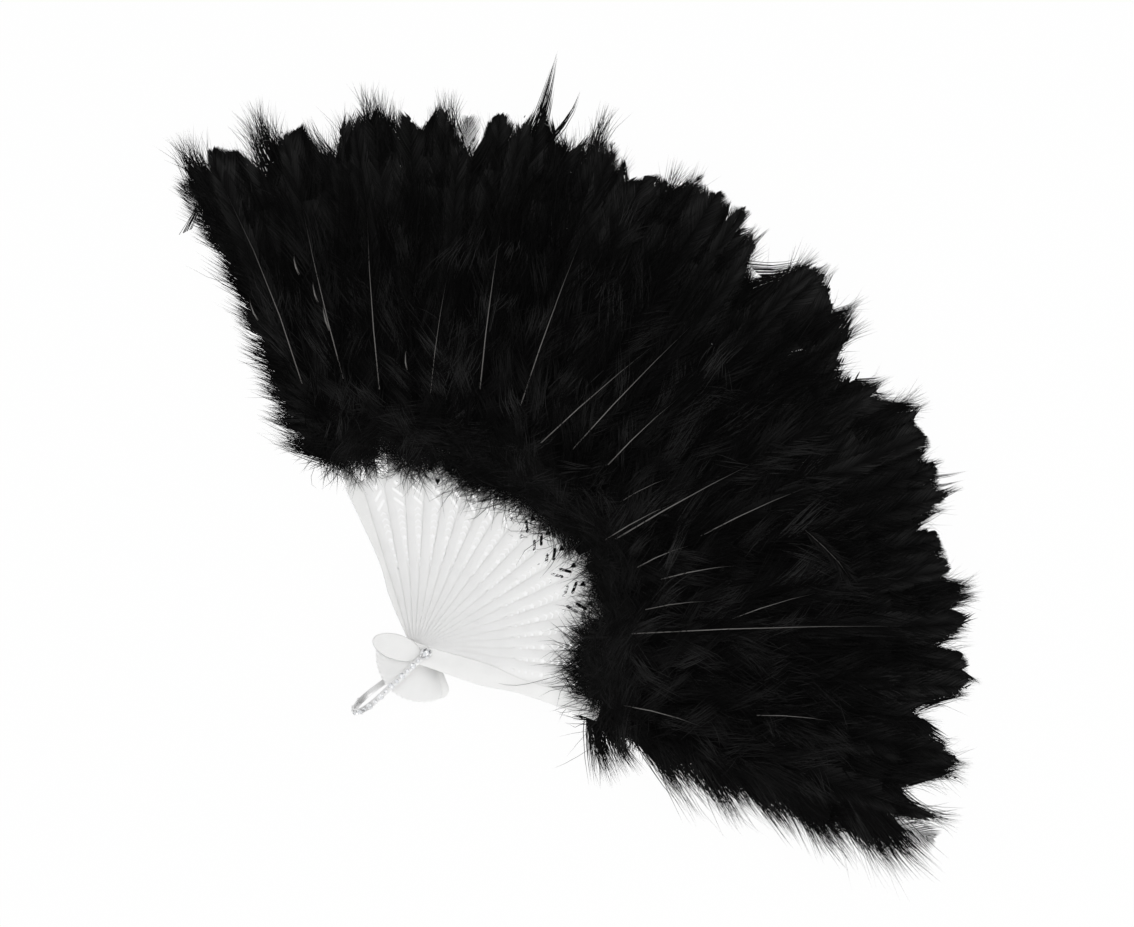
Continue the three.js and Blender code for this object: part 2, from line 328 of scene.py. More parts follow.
@dataclass(frozen=True)
class SilverPlate:
    """Silver plate on pressed brass: bright and softly blurred, with faint handling marks."""

    name: str
    colour: str = "#e4e4e4"
    roughness: float = 0.36
    mark_mm: float = 1.6
    smoother: float = 0.07
    duller: float = 0.12

    def material(self) -> bpy.types.Material:
        """Builds the material."""
        material, tree, output = new_material(self.name)
        place = add_node(tree, "ShaderNodeTexCoord").outputs["Object"]
        marks = add_node(
            tree, "ShaderNodeTexNoise", {}, {"Vector": place, "Scale": per_mm(self.mark_mm), "Detail": 4.0}
        )
        gloss = add_node(
            tree,
            "ShaderNodeMapRange",
            {},
            {
                "Value": marks.outputs["Fac"],
                "To Min": self.roughness - self.smoother,
                "To Max": self.roughness + self.duller,
            },
        )
        shader = add_node(
            tree,
            "ShaderNodeBsdfPrincipled",
            {},
            {"Base Color": linear(self.colour), "Metallic": 1.0, "Roughness": gloss.outputs["Result"]},
        )
        tree.links.new(shader.outputs["BSDF"], output.inputs["Surface"])
        return material


@dataclass(frozen=True)
class FoiledCrystal:
    """Cut glass with a foiled back: white sparkle that changes from facet to facet."""

    name: str
    # Painted highlights: the colours, the cell size and the ramp stops that make the facets flash
    bright: str = "#ffffff"
    deep: str = "#dfe1e4"
    flash_mm: float = 1.1
    flash: tuple[float, float] = (0.15, 0.65)
    roughness: float = 0.08
    foil: float = 0.8
    coat: float = 1.0

    def material(self) -> bpy.types.Material:
        """Builds the material."""
        material, tree, output = new_material(self.name)
        place = add_node(tree, "ShaderNodeTexCoord").outputs["Object"]
        # Painted highlights: the base colour changes from bright to deep cell by cell, for light flashing
        # off the facets
        flash = add_node(
            tree, "ShaderNodeTexVoronoi", {}, {"Vector": place, "Scale": per_mm(self.flash_mm)}
        )
        ramp = add_node(tree, "ShaderNodeValToRGB", {}, {"Fac": flash.outputs["Distance"]})
        set_ramp(ramp, [(self.flash[0], self.bright), (self.flash[1], self.deep)])
        shader = add_node(
            tree,
            "ShaderNodeBsdfPrincipled",
            {},
            {
                "Base Color": ramp.outputs["Color"],
                "Roughness": self.roughness,
                "Metallic": self.foil,
                "Coat Weight": self.coat,
            },
        )
        tree.links.new(shader.outputs["BSDF"], output.inputs["Surface"])
        return material


@dataclass(frozen=True)
class StudioSweep:
    """Plain white floor: white to the camera and to mirrors, and it keeps a soft shadow."""

    name: str
    colour: str = "#f4f4f4"
    seen_colour: str = "#ffffff"
    shadow_share: float = 0.03
    roughness: float = 0.5

    def material(self) -> bpy.types.Material:
        """Builds the material."""
        material, tree, output = new_material(self.name)
        rays = add_node(tree, "ShaderNodeLightPath")
        seen = rays.outputs["Is Camera Ray"]
        for kind in ("Is Glossy Ray", "Is Transmission Ray"):
            adder = add_node(
                tree,
                "ShaderNodeMath",
                {"operation": "ADD", "use_clamp": True},
                {0: seen, 1: rays.outputs[kind]},
            )
            seen = adder.outputs["Value"]
        share = add_node(
            tree,
            "ShaderNodeMath",
            {"operation": "MULTIPLY"},
            {0: seen, 1: 1.0 - self.shadow_share},
        )
        paint = add_node(
            tree, "ShaderNodeBsdfDiffuse", {}, {"Color": linear(self.colour), "Roughness": self.roughness}
        )
        glow = add_node(
            tree, "ShaderNodeEmission", {}, {"Color": linear(self.seen_colour), "Strength": 1.0}
        )
        mix = add_node(
            tree,
            "ShaderNodeMixShader",
            {},
            {"Fac": share.outputs["Value"], 1: paint.outputs["BSDF"], 2: glow.outputs["Emission"]},
        )
        tree.links.new(mix.outputs["Shader"], output.inputs["Surface"])
        return material


@dataclass(frozen=True)
class SoftLamp:
    """A square soft lamp: its place and side in millimetres, its power in watts, and if mirrors show it."""

    name: str
    place: tuple[float, float, float]
    size: float
    power: float
    mirrored: bool = True

    def hang(self, target: Vector) -> None:
        """Hangs the lamp so that it faces a point.

        Args:
            target: the point, in metres.
        """
        data = bpy.data.lights.new(self.name, "AREA")
        data.size = self.size * MM
        data.energy = self.power
        thing = bpy.data.objects.new(self.name, data)
        thing.location = Vector(self.place) * MM
        thing.visible_glossy = self.mirrored
        aim = target - thing.location
        thing.rotation_euler = aim.to_track_quat("-Z", "Y").to_euler()
        bpy.context.scene.collection.objects.link(thing)


@dataclass
class Studio:
    """The camera at the photograph's viewpoint, a white sweep and soft light.

    The photograph is 1134 by 927 pixels, and pixels are counted in that frame.
    """

    frame_px: tuple[float, float] = (1134.0, 927.0)
    pivot_px: tuple[float, float] = (426.0, 653.5)
    mm_per_px: float = 0.433
    middle_deg: float = MIDDLE_DEG
    distance: float = 2400.0
    from_left: float = 0.09
    from_below: float = 0.035
    sensor: float = 36.0
    clip: tuple[float, float] = (10.0, 50000.0)
    floor_span: float = 6000.0
    lamps: tuple[SoftLamp, ...] = (
        SoftLamp("key", (-120.0, 60.0, 1700.0), 700.0, 10.9, mirrored=False),
        SoftLamp("fill", (700.0, 600.0, 1100.0), 900.0, 2.4),
        SoftLamp("low", (700.0, -450.0, 450.0), 500.0, 1.5),
    )
    lit_spot: tuple[float, float, float] = (0.0, 110.0, 10.0)
    sky: tuple[tuple[float, str], ...] = ((0.0, "#8c8c8c"), (0.45, "#e6e6e6"), (1.0, "#ffffff"))
    sky_light: float = 0.52
    sky_mirrored: float = 1.0

    def build(self, pivot_top: float) -> None:
        """Makes the camera, the floor, the lamps and the world.

        Args:
            pivot_top: the height of the rivet's front, which lies at pivot_px.
        """
        self._camera(pivot_top)
        self._floor()
        self._lamps()
        self._world()
        bpy.context.scene.view_settings.view_transform = "Standard"

    def _camera(self, pivot_top: float) -> None:
        """Places the camera above the fan, a little to the left, rolled as the photograph shows it.

        Args:
            pivot_top: the height of the rivet's front, in millimetres.
        """
        focal_px = self.distance / self.mm_per_px
        roll = math.radians(90.0 - self.middle_deg)
        right = Vector((math.cos(roll), math.sin(roll), 0.0))
        up = Vector((-math.sin(roll), math.cos(roll), 0.0))
        back = (Vector((0.0, 0.0, 1.0)) - right * self.from_left - up * self.from_below).normalized()
        across = up.cross(back).normalized()
        turn = Matrix((across, back.cross(across), back)).transposed()
        ray = Vector(
            (
                (self.pivot_px[0] - self.frame_px[0] / 2) / focal_px,
                (self.frame_px[1] / 2 - self.pivot_px[1]) / focal_px,
                -1.0,
            )
        )
        spot = Vector((0.0, 0.0, pivot_top)) - self.distance * (turn @ ray)
        data = bpy.data.cameras.new("photo_camera")
        data.sensor_fit = "HORIZONTAL"
        data.sensor_width = self.sensor
        data.lens = focal_px * self.sensor / self.frame_px[0]
        data.clip_start = self.clip[0] * MM
        data.clip_end = self.clip[1] * MM
        camera = bpy.data.objects.new("photo_camera", data)
        camera.location = spot * MM
        camera.rotation_euler = turn.to_euler()
        bpy.context.scene.collection.objects.link(camera)
        bpy.context.scene.camera = camera

    def _floor(self) -> None:
        """Lays the floor that the rear of the fan rests on."""
        shape = bmesh.new()
        bmesh.ops.create_grid(shape, x_segments=1, y_segments=1, size=self.floor_span / 2 * MM)
        floor = mesh_object("studio_floor", shape, StudioSweep("white_sweep").material())

    def _lamps(self) -> None:
        """Hangs a soft key that shiny pieces don't mirror, a weak fill and a low lamp by the tails."""
        for lamp in self.lamps:
            lamp.hang(Vector(self.lit_spot) * MM)

    def _world(self) -> None:
        """Lights the scene from a white sky that darkens towards the horizon."""
        world = bpy.data.worlds.new("studio_world")
        bpy.context.scene.world = world
        world.use_nodes = True
        tree = world.node_tree
        tree.nodes.clear()
        output = add_node(tree, "ShaderNodeOutputWorld")
        place = add_node(tree, "ShaderNodeTexCoord").outputs["Generated"]
        axes = add_node(tree, "ShaderNodeSeparateXYZ", {}, {"Vector": place})
        ramp = add_node(tree, "ShaderNodeValToRGB", {}, {"Fac": axes.outputs["Z"]})
        set_ramp(ramp, self.sky)
        rays = add_node(tree, "ShaderNodeLightPath")
        mirror = add_node(
            tree,
            "ShaderNodeMath",
            {"operation": "ADD", "use_clamp": True},
            {0: rays.outputs["Is Glossy Ray"], 1: rays.outputs["Is Transmission Ray"]},
        )
        strength = add_node(
            tree,
            "ShaderNodeMapRange",
            {},
            {"Value": mirror.outputs["Value"], "To Min": self.sky_light, "To Max": self.sky_mirrored},
        )
        sky = add_node(
            tree,
            "ShaderNodeBackground",
            {},
            {"Color": ramp.outputs["Color"], "Strength": strength.outputs["Result"]},
        )
        tree.links.new(sky.outputs["Background"], output.inputs["Surface"])


def mesh_object(name: str, shape: bmesh.types.BMesh, material: bpy.types.Material) -> bpy.types.Object:
    """Turns a bmesh into an object of the scene and frees the bmesh.

    Args:
        name: the object's name.
        shape: the bmesh, in metres.
        material: its one material.

    Returns:
        The new object, at the origin.
    """
    mesh = bpy.data.meshes.new(name)
    shape.to_mesh(mesh)
    shape.free()
    mesh.materials.append(material)
    thing = bpy.data.objects.new(name, mesh)
    bpy.context.scene.collection.objects.link(thing)
    return thing


def split(shape: bmesh.types.BMesh, spot: Sequence[float], normal: Sequence[float]) -> None:
    """Cuts a mesh's faces along a plane and keeps both sides.

    Args:
        shape: the mesh.
        spot: a point of the plane.
        normal: the plane's direction.
    """
    geom = shape.verts[:] + shape.edges[:] + shape.faces[:]
    bmesh.ops.bisect_plane(shape, geom=geom, dist=WELD, plane_co=spot, plane_no=normal)


@dataclass
class Strands:
    """Barbs as centre lines, in millimetres in a plume's own frame: out along the quill, left, and up."""

    points: np.ndarray
    radii: np.ndarray
    shades: np.ndarray

    @staticmethod
    def joined(parts: Sequence[Strands]) -> Strands:
        """Puts several sets of barbs with the same number of points into one."""
        return Strands(
            np.concatenate([p.points for p in parts]),
            np.concatenate([p.radii for p in parts]),
            np.concatenate([p.shades for p in parts]),
        )


class BarbStamp:
    """A three-sided spike with a few rings, which is bent along every barb's centre line."""

    SIDES = 3
    SHADE_ROWS = 64
    FLATNESS = 0.55
    # Shares of a shade's row and of a barb's length that its map leaves free at each end
    ROW_MARGIN = 0.12
    END_MARGIN = 0.03
    BASE_FOLD = 0.02
    # Lengths below which a direction across the barb can't be told
    TIP_REACH = 1e-4
    LEAST_SIDE = 1e-3
    LEAST_STEP = 1e-12

    def __init__(self, rings: int) -> None:
        """Makes the spike and keeps its corners, faces and map.

        Args:
            rings: how many stretches a barb has from root to tip.
        """
        self.rings = rings
        spike = bmesh.new()
        bmesh.ops.create_cone(
            spike, cap_ends=True, cap_tris=True, segments=self.SIDES, radius1=1.0, radius2=0.0, depth=1.0
        )
        bmesh.ops.remove_doubles(spike, verts=spike.verts, dist=WELD)
        bmesh.ops.translate(spike, verts=spike.verts, vec=(0.0, 0.0, 0.5))
        for ring in range(1, rings):
            split(spike, (0.0, 0.0, ring / rings), (0.0, 0.0, 1.0))
        bmesh.ops.triangulate(spike, faces=spike.faces)
        bmesh.ops.recalc_face_normals(spike, faces=spike.faces)
        spike.verts.index_update()
        corners = np.array([v.co for v in spike.verts])
        self.faces = np.array([[v.index for v in f.verts] for f in spike.faces])
        spike.free()
        self.ring = np.round(corners[:, 2] * rings).astype(int)
        reach = np.hypot(corners[:, 0], corners[:, 1])
        wide = reach > self.TIP_REACH
        self.across, self.over = (
            np.where(wide, corners[:, axis] / np.maximum(reach, self.TIP_REACH), 0.0) for axis in range(2)
        )
        turn = np.arctan2(self.over, self.across) / (2 * math.pi) + 0.5
        self.row_share = np.where(wide, self.ROW_MARGIN + (1 - 2 * self.ROW_MARGIN) * turn, 0.5)
        self.base = np.array([all(self.ring[c] == 0 for c in f) for f in self.faces])

    def stamp(self, strands: Strands, to_frame: Matrix) -> tuple[np.ndarray, np.ndarray, np.ndarray]:
        """Bends the spike along every barb.

        Args:
            strands: the barbs.
            to_frame: the matrix from the plume's frame to the fan's, in millimetres.

        Returns:
            Corners in metres, triangles, and a map place for each triangle corner.
        """
        turn = np.array(to_frame.to_3x3())
        lines = strands.points @ turn.T + np.array(to_frame.translation)
        along = np.gradient(lines, axis=1)
        along /= np.linalg.norm(along, axis=2, keepdims=True) + self.LEAST_STEP
        side = np.cross(along, np.array([0.0, 0.0, 1.0]))
        length = np.linalg.norm(side, axis=2, keepdims=True)
        level = side / np.maximum(length, self.LEAST_SIDE)
        side = np.where(length > self.LEAST_SIDE, level, np.array([1.0, 0.0, 0.0]))
        lift = np.cross(along, side)
        width = strands.radii[:, self.ring, None]
        corners = lines[:, self.ring] + width * (
            self.across[None, :, None] * side[:, self.ring]
            + self.FLATNESS * self.over[None, :, None] * lift[:, self.ring]
        )
        count = len(lines)
        faces = (self.faces[None] + len(self.ring) * np.arange(count)[:, None, None]).reshape(-1, 3)
        rows = np.floor(strands.shades * self.SHADE_ROWS).clip(0, self.SHADE_ROWS - 1)
        row = self.END_MARGIN + (1 - 2 * self.END_MARGIN) * self.ring[self.faces] / self.rings
        row[self.base] += np.array([0.0, -self.BASE_FOLD, 0.0])
        u = np.broadcast_to(row, (count, *self.faces.shape))
        v = (rows[:, None, None] + self.row_share[self.faces][None]) / self.SHADE_ROWS
        places = np.stack([u, v], axis=-1).reshape(-1, 2)
        return corners.reshape(-1, 3) * MM, faces, places


# How many stretches a barb has, how a long one tapers, and the highest shade and the horn's
SHORT_BARB = 2
LONG_BARB = 3
BARB_TAPER = np.array([1.0, 0.95, 0.7, 0.12])
TOP_SHADE = 0.999
HORN_SHADE = 0.5


def strand_object(
    name: str, sets: Sequence[Strands], to_frame: Matrix, material: bpy.types.Material
) -> bpy.types.Object:
    """Makes one mesh object of many barbs.

    Args:
        name: the object's name.
        sets: the barbs, each set with its own number of points.
        to_frame: the matrix from the plume's frame to the fan's, in millimetres.
        material: their finish.

    Returns:
        The new object, at the origin.
    """
    corners, faces, places = [], [], []
    start = 0
    for strands in sets:
        stamp = BarbStamp(strands.points.shape[1] - 1)
        some_corners, some_faces, some_places = stamp.stamp(strands, to_frame)
        corners.append(some_corners)
        faces.append(some_faces + start)
        places.append(some_places)
        start += len(some_corners)
    triangles = np.concatenate(faces)
    mesh = bpy.data.meshes.new(name)
    mesh.vertices.add(start)
    mesh.vertices.foreach_set("co", np.concatenate(corners).astype(np.float32).ravel())
    mesh.loops.add(triangles.size)
    mesh.loops.foreach_set("vertex_index", triangles.astype(np.int32).ravel())
    mesh.polygons.add(len(triangles))
    mesh.polygons.foreach_set("loop_start", np.arange(0, triangles.size, 3, dtype=np.int32))
    mesh.polygons.foreach_set("use_smooth", np.ones(len(triangles), dtype=bool))
    layer = mesh.uv_layers.new(name=BARB_MAP)
    layer.data.foreach_set("uv", np.concatenate(places).astype(np.float32).ravel())
    mesh.update(calc_edges=True)
    mesh.validate()
    mesh.materials.append(material)
    thing = bpy.data.objects.new(name, mesh)
    bpy.context.scene.collection.objects.link(thing)
    return thing


@dataclass
class Stave:
    """One stick or guard with its plume: its nodes, its body and where it lies."""

    place: int
    stick: str
    plume: str
    joint: str
    angle: float
    seat: float

    @property
    def body(self) -> str:
        """The body that the stick and its plume belong to."""
        return self.stick

    def to_frame(self) -> Matrix:
        """Gives the matrix from the plume's frame, out, left and up, to the fan's, in millimetres."""
        return Matrix.Translation((0.0, 0.0, self.seat)) @ Matrix.Rotation(self.angle, 4, "Z")


def find_staves(frame: dict) -> list[Stave]:
    """Reads the sticks and guards, from rear to front, off the frame.


    Returns:
        The staves in order.
    """
    sticks = sorted(n for n in frame["nodes"] if n.startswith("stick_"))
    joint_of = {j["child"]: j["name"] for j in frame["joints"]}
    staves = []
    for place, stick in enumerate(["rear_guard", *sticks, "front_guard"]):
        plume = "plume_" + stick.removeprefix("stick_")
        mesh = frame["nodes"][plume].data
        middle = sum((v.co for v in mesh.vertices), Vector()) / len(mesh.vertices)
        angle = math.atan2(middle.y, middle.x)
        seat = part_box(plume)[0][2] / MM
        staves.append(Stave(place, stick, plume, joint_of.get(stick, "fold"), angle, seat))
    return staves


@dataclass(frozen=True)
class FanOutline:
    """The open fan's outline as the photograph shows it.

    A place is a stave's number, whole or between two staves, and a reach is in millimetres from the rivet.
    The rim gives reaches at places, clean the stretches that are the cut ends of vanes, and collar where
    each stave's feathers start. The gains make up for the rim's distance behind the front of the rivet.
    """

    step_deg: float
    rim: tuple[tuple[float, float], ...] = (
        (-1.00, 60), (-0.95, 212), (-0.86, 228), (-0.70, 231), (-0.58, 228), (-0.50, 237), (-0.35, 231),
        (-0.21, 225), (-0.10, 231), (0.00, 236), (0.20, 232), (0.33, 231), (0.42, 225), (0.65, 217),
        (0.80, 227), (1.00, 231), (1.20, 231), (1.46, 234), (1.53, 222), (1.80, 219), (1.95, 229),
        (2.10, 233), (2.25, 233), (2.45, 229), (2.60, 235), (2.75, 232), (2.90, 234), (3.10, 228),
        (3.25, 225), (3.37, 229), (3.50, 235), (3.62, 235), (3.70, 228), (3.85, 222), (4.10, 214),
        (4.20, 221), (4.27, 230), (4.45, 234), (4.60, 233), (4.87, 228), (5.05, 233), (5.15, 238),
        (5.30, 233), (5.40, 227), (5.65, 225), (5.80, 232), (6.00, 232), (6.40, 223), (6.50, 227),
        (6.70, 221), (6.90, 224), (7.10, 228), (7.25, 228), (7.35, 226), (7.55, 231), (7.70, 234),
        (7.90, 233), (8.10, 235), (8.27, 234), (8.40, 226), (8.52, 222), (8.80, 229), (8.97, 226),
        (9.05, 218), (9.32, 211), (9.50, 213), (9.65, 228), (9.90, 234), (10.10, 237), (10.30, 232),
        (10.60, 228), (10.75, 237), (10.90, 231), (11.10, 223), (11.40, 215), (11.70, 216),
        (11.93, 226), (12.05, 220), (12.30, 226), (12.57, 236), (12.70, 231), (13.00, 233),
        (13.20, 233), (13.30, 228), (13.50, 232), (13.80, 231), (13.95, 235), (14.10, 229),
        (14.35, 218), (14.50, 224), (14.80, 226), (15.00, 226), (15.20, 222), (15.40, 231),
        (15.58, 233), (15.70, 222), (15.82, 232), (16.10, 228), (16.30, 219), (16.42, 230),
        (16.60, 231), (16.70, 228), (16.86, 234), (17.10, 227), (17.33, 210), (17.47, 210),
        (17.60, 217), (17.90, 226), (18.20, 231), (18.40, 227), (18.65, 213), (18.90, 215),
        (19.00, 227), (19.15, 225), (19.28, 206), (19.55, 206), (19.68, 222), (19.82, 224),
        (19.88, 214), (19.92, 60),
    )
    clean: tuple[tuple[float, float], ...] = (
        (-0.20, 0.35), (1.05, 1.48), (2.88, 3.42), (4.18, 4.90), (6.70, 7.30), (7.75, 8.50), (10.20, 10.60),
        (12.65, 13.20), (13.50, 13.80), (14.40, 15.20), (16.35, 16.65),
    )
    collar: tuple[float, ...] = (
        90, 86, 91, 80, 86, 81, 77, 76, 77, 80, 75, 81, 82, 82, 75, 76, 69, 66, 68, 79,
    )
    middle_deg: float = MIDDLE_DEG
    depth_gain: float = 1.023
    far_gain: float = 0.011
    loose_depth: float = 1.5

    def reach(self, places: np.ndarray | float) -> np.ndarray:
        """Gives the rim's reach at stave places, a little more on the side away from the camera.

        Args:
            places: places of staves, whole or between two staves.

        Returns:
            The reaches, in millimetres from the rivet.
        """
        at, far = np.array(self.rim).T
        middle = (len(self.collar) - 1) / 2
        turn = np.radians(self.middle_deg + (middle - np.asarray(places)) * self.step_deg)
        return np.interp(places, at, far) * (self.depth_gain + self.far_gain * np.cos(turn))

    def loose(self, places: np.ndarray | float) -> np.ndarray:
        """Tells where the rim is loose down, not the clean cut end of a vane.

        Args:
            places: places of staves, whole or between two staves.

        Returns:
            True for each place where the rim is loose.
        """
        near = np.asarray(places, dtype=float)
        cut = np.zeros(near.shape, dtype=bool)
        for low, high in self.clean:
            cut |= (near > low) & (near < high)
        return ~cut

    def room(self, stave: int, out: np.ndarray, off: np.ndarray, fray: np.ndarray) -> np.ndarray:
        """Gives how far points of a stave's plume lie inside the rim of the vanes.

        Args:
            stave: the stave that carries the plume.
            out: the points' places out along the stave.
            off: their places to its left.
            fray: how much farther barbs reach where the rim is loose.

        Returns:
            The distances to the rim, which are negative outside it.
        """
        places = stave - np.degrees(np.arctan2(off, out)) / self.step_deg
        rim = self.reach(places) + np.where(self.loose(places), fray - self.loose_depth, 0.0)
        return rim - np.hypot(out, off)


@dataclass
class FlatFeather:
    """A broad feather: a quill with close parallel barbs, whose ends are cut along the fan's rim.

    Angles are in degrees from the quill, and a split is a stretch of vane between two partings.
    """

    stave: int
    outline: FanOutline
    reach: float
    half_width: float
    lean: float
    height: float
    vane_from: float
    root: float = 80.0
    pitch: float = 0.58
    radius: float = 0.38
    base_angle: float = 52.0
    tip_angle: float = 29.0
    split_angle: float = 6.0
    split_mm: float = 8.0
    bend_deg: float = 9.0
    ragged: float = 0.5
    fray: float = 4.0
    crown: float = 1.4
    droop: float = 2.2
    shade: tuple[float, float] = (0.3, 0.75)
    # Painted shade: how dark the inner barbs are made, and the stretch out along the quill over which they
    # brighten to full
    shaded_share: float = 0.25
    lit_from: tuple[float, float] = (140.0, 195.0)
    samples: int = 33
    trimmed: bool = True
    bare_tip: float = 2.0
    split_range: tuple[float, float] = (0.4, 1.6)
    spare_splits: int = 4
    swing: float = 0.5
    root_fullness: float = 0.5
    filling: float = 1.8
    length_range: tuple[float, float] = (0.95, 1.03)
    bend_spread: float = 1.5
    barb_ragged: float = 0.15
    fray_middle: float = 0.6
    fray_spread: float = 0.35
    uneven: float = 0.12
    taper: tuple[float, float, float] = (1.0, 0.95, 0.25)
    shade_spread: float = 0.05
    least_share: float = 0.04

    def barbs(self, rng: np.random.Generator) -> Strands:
        """Lays the barbs of both vanes.

        Args:
            rng: the source of chance.

        Returns:
            The barbs, in the plume's frame.
        """
        start = np.arange(self.vane_from, self.reach - self.bare_tip, self.pitch)
        return Strands.joined([self._vane(rng, start, side) for side in Side])

    def _vane(self, rng: np.random.Generator, start: np.ndarray, side: Side) -> Strands:
        """Lays the barbs of one side of the quill.

        Args:
            rng: the source of chance.
            start: where the barbs leave the quill.
            side: the side of the quill.

        Returns:
            The barbs, in the plume's frame.
        """
        count = len(start)
        share = (start - self.vane_from) / (self.reach - self.vane_from)
        # More splits than the vane has room for, even if all are narrow
        splits = math.ceil(self.spare_splits * (self.reach - self.vane_from) / self.split_mm)
        widths = rng.uniform(*self.split_range, splits) * self.split_mm
        breaks = self.vane_from + np.concatenate([[0.0], np.cumsum(widths)])
        lock = np.searchsorted(breaks, start, side="right") - 1
        inside = (start - breaks[lock]) / widths[lock]
        swing = rng.normal(0.0, self.swing, len(widths))[lock] + (0.5 - inside)
        course = self.base_angle + (self.tip_angle - self.base_angle) * share
        angle = np.radians(course + self.split_angle * swing)
        fullness = np.sin(np.clip(self.root_fullness + share * self.filling, 0.0, 1.0) * math.pi / 2)
        length = self.half_width * fullness / np.sin(angle) * rng.uniform(*self.length_range, count)
        bend = np.radians(rng.normal(self.bend_deg, self.bend_spread, count))
        cut = rng.normal(0.0, self.ragged, len(widths))[lock] + rng.normal(0.0, self.barb_ragged, count)
        bulge = self.fray_middle - np.abs(2 * inside - 1)
        fray = self.fray * (bulge + rng.normal(0.0, self.fray_spread, count))

        def path(shares: np.ndarray) -> tuple[np.ndarray, np.ndarray]:
            """Gives places out and to the left at shares of the barbs' lengths."""
            turn = angle[:, None] - bend[:, None] * shares
            out = start[:, None] + length[:, None] * shares * np.cos(turn)
            off = side.value * length[:, None] * shares * np.sin(turn)
            return out, off + self.lean * (out - self.root) / (self.reach - self.root)

        steps = np.linspace(0.0, 1.0, self.samples)[None] * np.ones((count, 1))
        out, off = path(steps)
        room = self.outline.room(self.stave, out, off, fray[:, None]) if self.trimmed else self.reach - out
        inner = np.minimum.accumulate(room + cut[:, None], axis=1) > 0.0
        allowed = np.where(inner, steps, 0.0).max(axis=1)
        t = np.linspace(0.0, 1.0, SHORT_BARB + 1)[None]
        out, off = path(allowed[:, None] * t)
        rise = self.height + self.crown - self.droop * (allowed[:, None] * t) ** 2
        rise = rise + rng.normal(0.0, self.uneven, count)[:, None]
        points = np.stack([out, off, rise], axis=-1)
        radii = self.radius * np.array(self.taper)[None] * np.ones((count, 1))
        # Painted shade: barbs that leave the quill nearer its root are darker, as if shaded by the down
        # that lies over them
        lit = np.interp(start, self.lit_from, (self.shaded_share, 1.0))
        tone = self.shade[0] + (self.shade[1] - self.shade[0]) * rng.uniform(0.0, 1.0, len(widths))[lock]
        shades = np.clip(tone * lit + rng.normal(0.0, self.shade_spread, count), 0.0, TOP_SHADE)
        kept = allowed > self.least_share
        return Strands(points[kept], radii[kept], shades[kept])


@dataclass
class TuftBed:
    """A stretch of quill that carries downy tufts.

    Angles are from the quill's outward direction, every pair is a range, lift and floor are heights, and
    fan is how much of a tuft's width at the root is left at its tip.
    """

    count: int
    out: tuple[float, float]
    angle: tuple[float, float]
    length: tuple[float, float]
    lift: tuple[float, float]
    floor: tuple[float, float] = (0.0, 0.0)
    per_tuft: int = 26
    spread: float = 2.2
    gather: float = 0.8
    straighten: float = 0.35
    curl: float = 15.0
    jitter: float = 5.0
    radius: float = 0.17
    sides: tuple[Side, ...] = (Side.LEFT, Side.RIGHT)
    off: float = 1.8
    fan: float = 0.5
    shade: tuple[float, float] = (0.0, 1.0)
    shade_skew: tuple[float, float] = (1.0, 1.6)
    shade_spread: float = 0.07
    length_range: tuple[float, float] = (0.6, 1.06)
    radius_range: tuple[float, float] = (0.7, 1.15)
    pull_power: float = 1.5
    swell_turn: float = 0.75
    climb_turn: float = 0.62
    puff_share: float = 0.7

    def barbs(self, rng: np.random.Generator) -> Strands:
        """Grows the tufts.

        Args:
            rng: the source of chance.

        Returns:
            The barbs, in the plume's frame.
        """
        n, m = self.count, self.per_tuft
        side = rng.choice([s.value for s in self.sides], n)
        out = rng.uniform(*self.out, n)
        angle = np.radians(rng.uniform(*self.angle, n)) * side
        length = rng.uniform(*self.length, n)
        lift = rng.uniform(*self.lift, n)
        floor = rng.uniform(*self.floor, n)
        shade = self.shade[0] + (self.shade[1] - self.shade[0]) * rng.beta(*self.shade_skew, n)
        curl = np.radians(rng.normal(0.0, self.curl, n))
        t = np.linspace(0.0, 1.0, LONG_BARB + 1)
        own_length = length[:, None] * rng.uniform(*self.length_range, (n, m))
        own_angle = angle[:, None] + np.radians(rng.normal(0.0, self.jitter, (n, m)))
        root_out = out[:, None] + rng.normal(0.0, self.spread, (n, m))
        root_off = rng.normal(0.0, self.off, (n, m))
        turn = own_angle[..., None] * (1 - self.straighten * t) + curl[:, None, None] * t**2
        step = own_length[..., None] / LONG_BARB
        start = np.zeros((n, m, 1))
        ahead = np.concatenate([start, np.cumsum((np.cos(turn) * step)[..., 1:], axis=-1)], -1)
        aside = np.concatenate([start, np.cumsum((np.sin(turn) * step)[..., 1:], axis=-1)], -1)
        pull = (1.0 - self.fan) * t**self.pull_power
        centre = out[:, None, None] * pull + root_out[..., None] * (1 - pull)
        swell = np.sin(t * math.pi * self.swell_turn)
        puff = rng.normal(0.0, self.gather, (n, m, 1)) * swell
        sway = rng.normal(0.0, self.gather, (n, m, 1)) * swell
        climb = floor[:, None, None] + lift[:, None, None] * np.sin(t * math.pi * self.climb_turn)
        left = root_off[..., None] * (1 - pull) + aside + sway
        points = np.stack([centre + ahead, left, climb + puff * self.puff_share], axis=-1)
        radii = self.radius * BARB_TAPER * rng.uniform(*self.radius_range, (n, m, 1))
        shades = np.clip(shade[:, None] + rng.normal(0.0, self.shade_spread, (n, m)), 0.0, TOP_SHADE)
        return Strands(points.reshape(-1, len(t), 3), radii.reshape(-1, len(t)), shades.ravel())


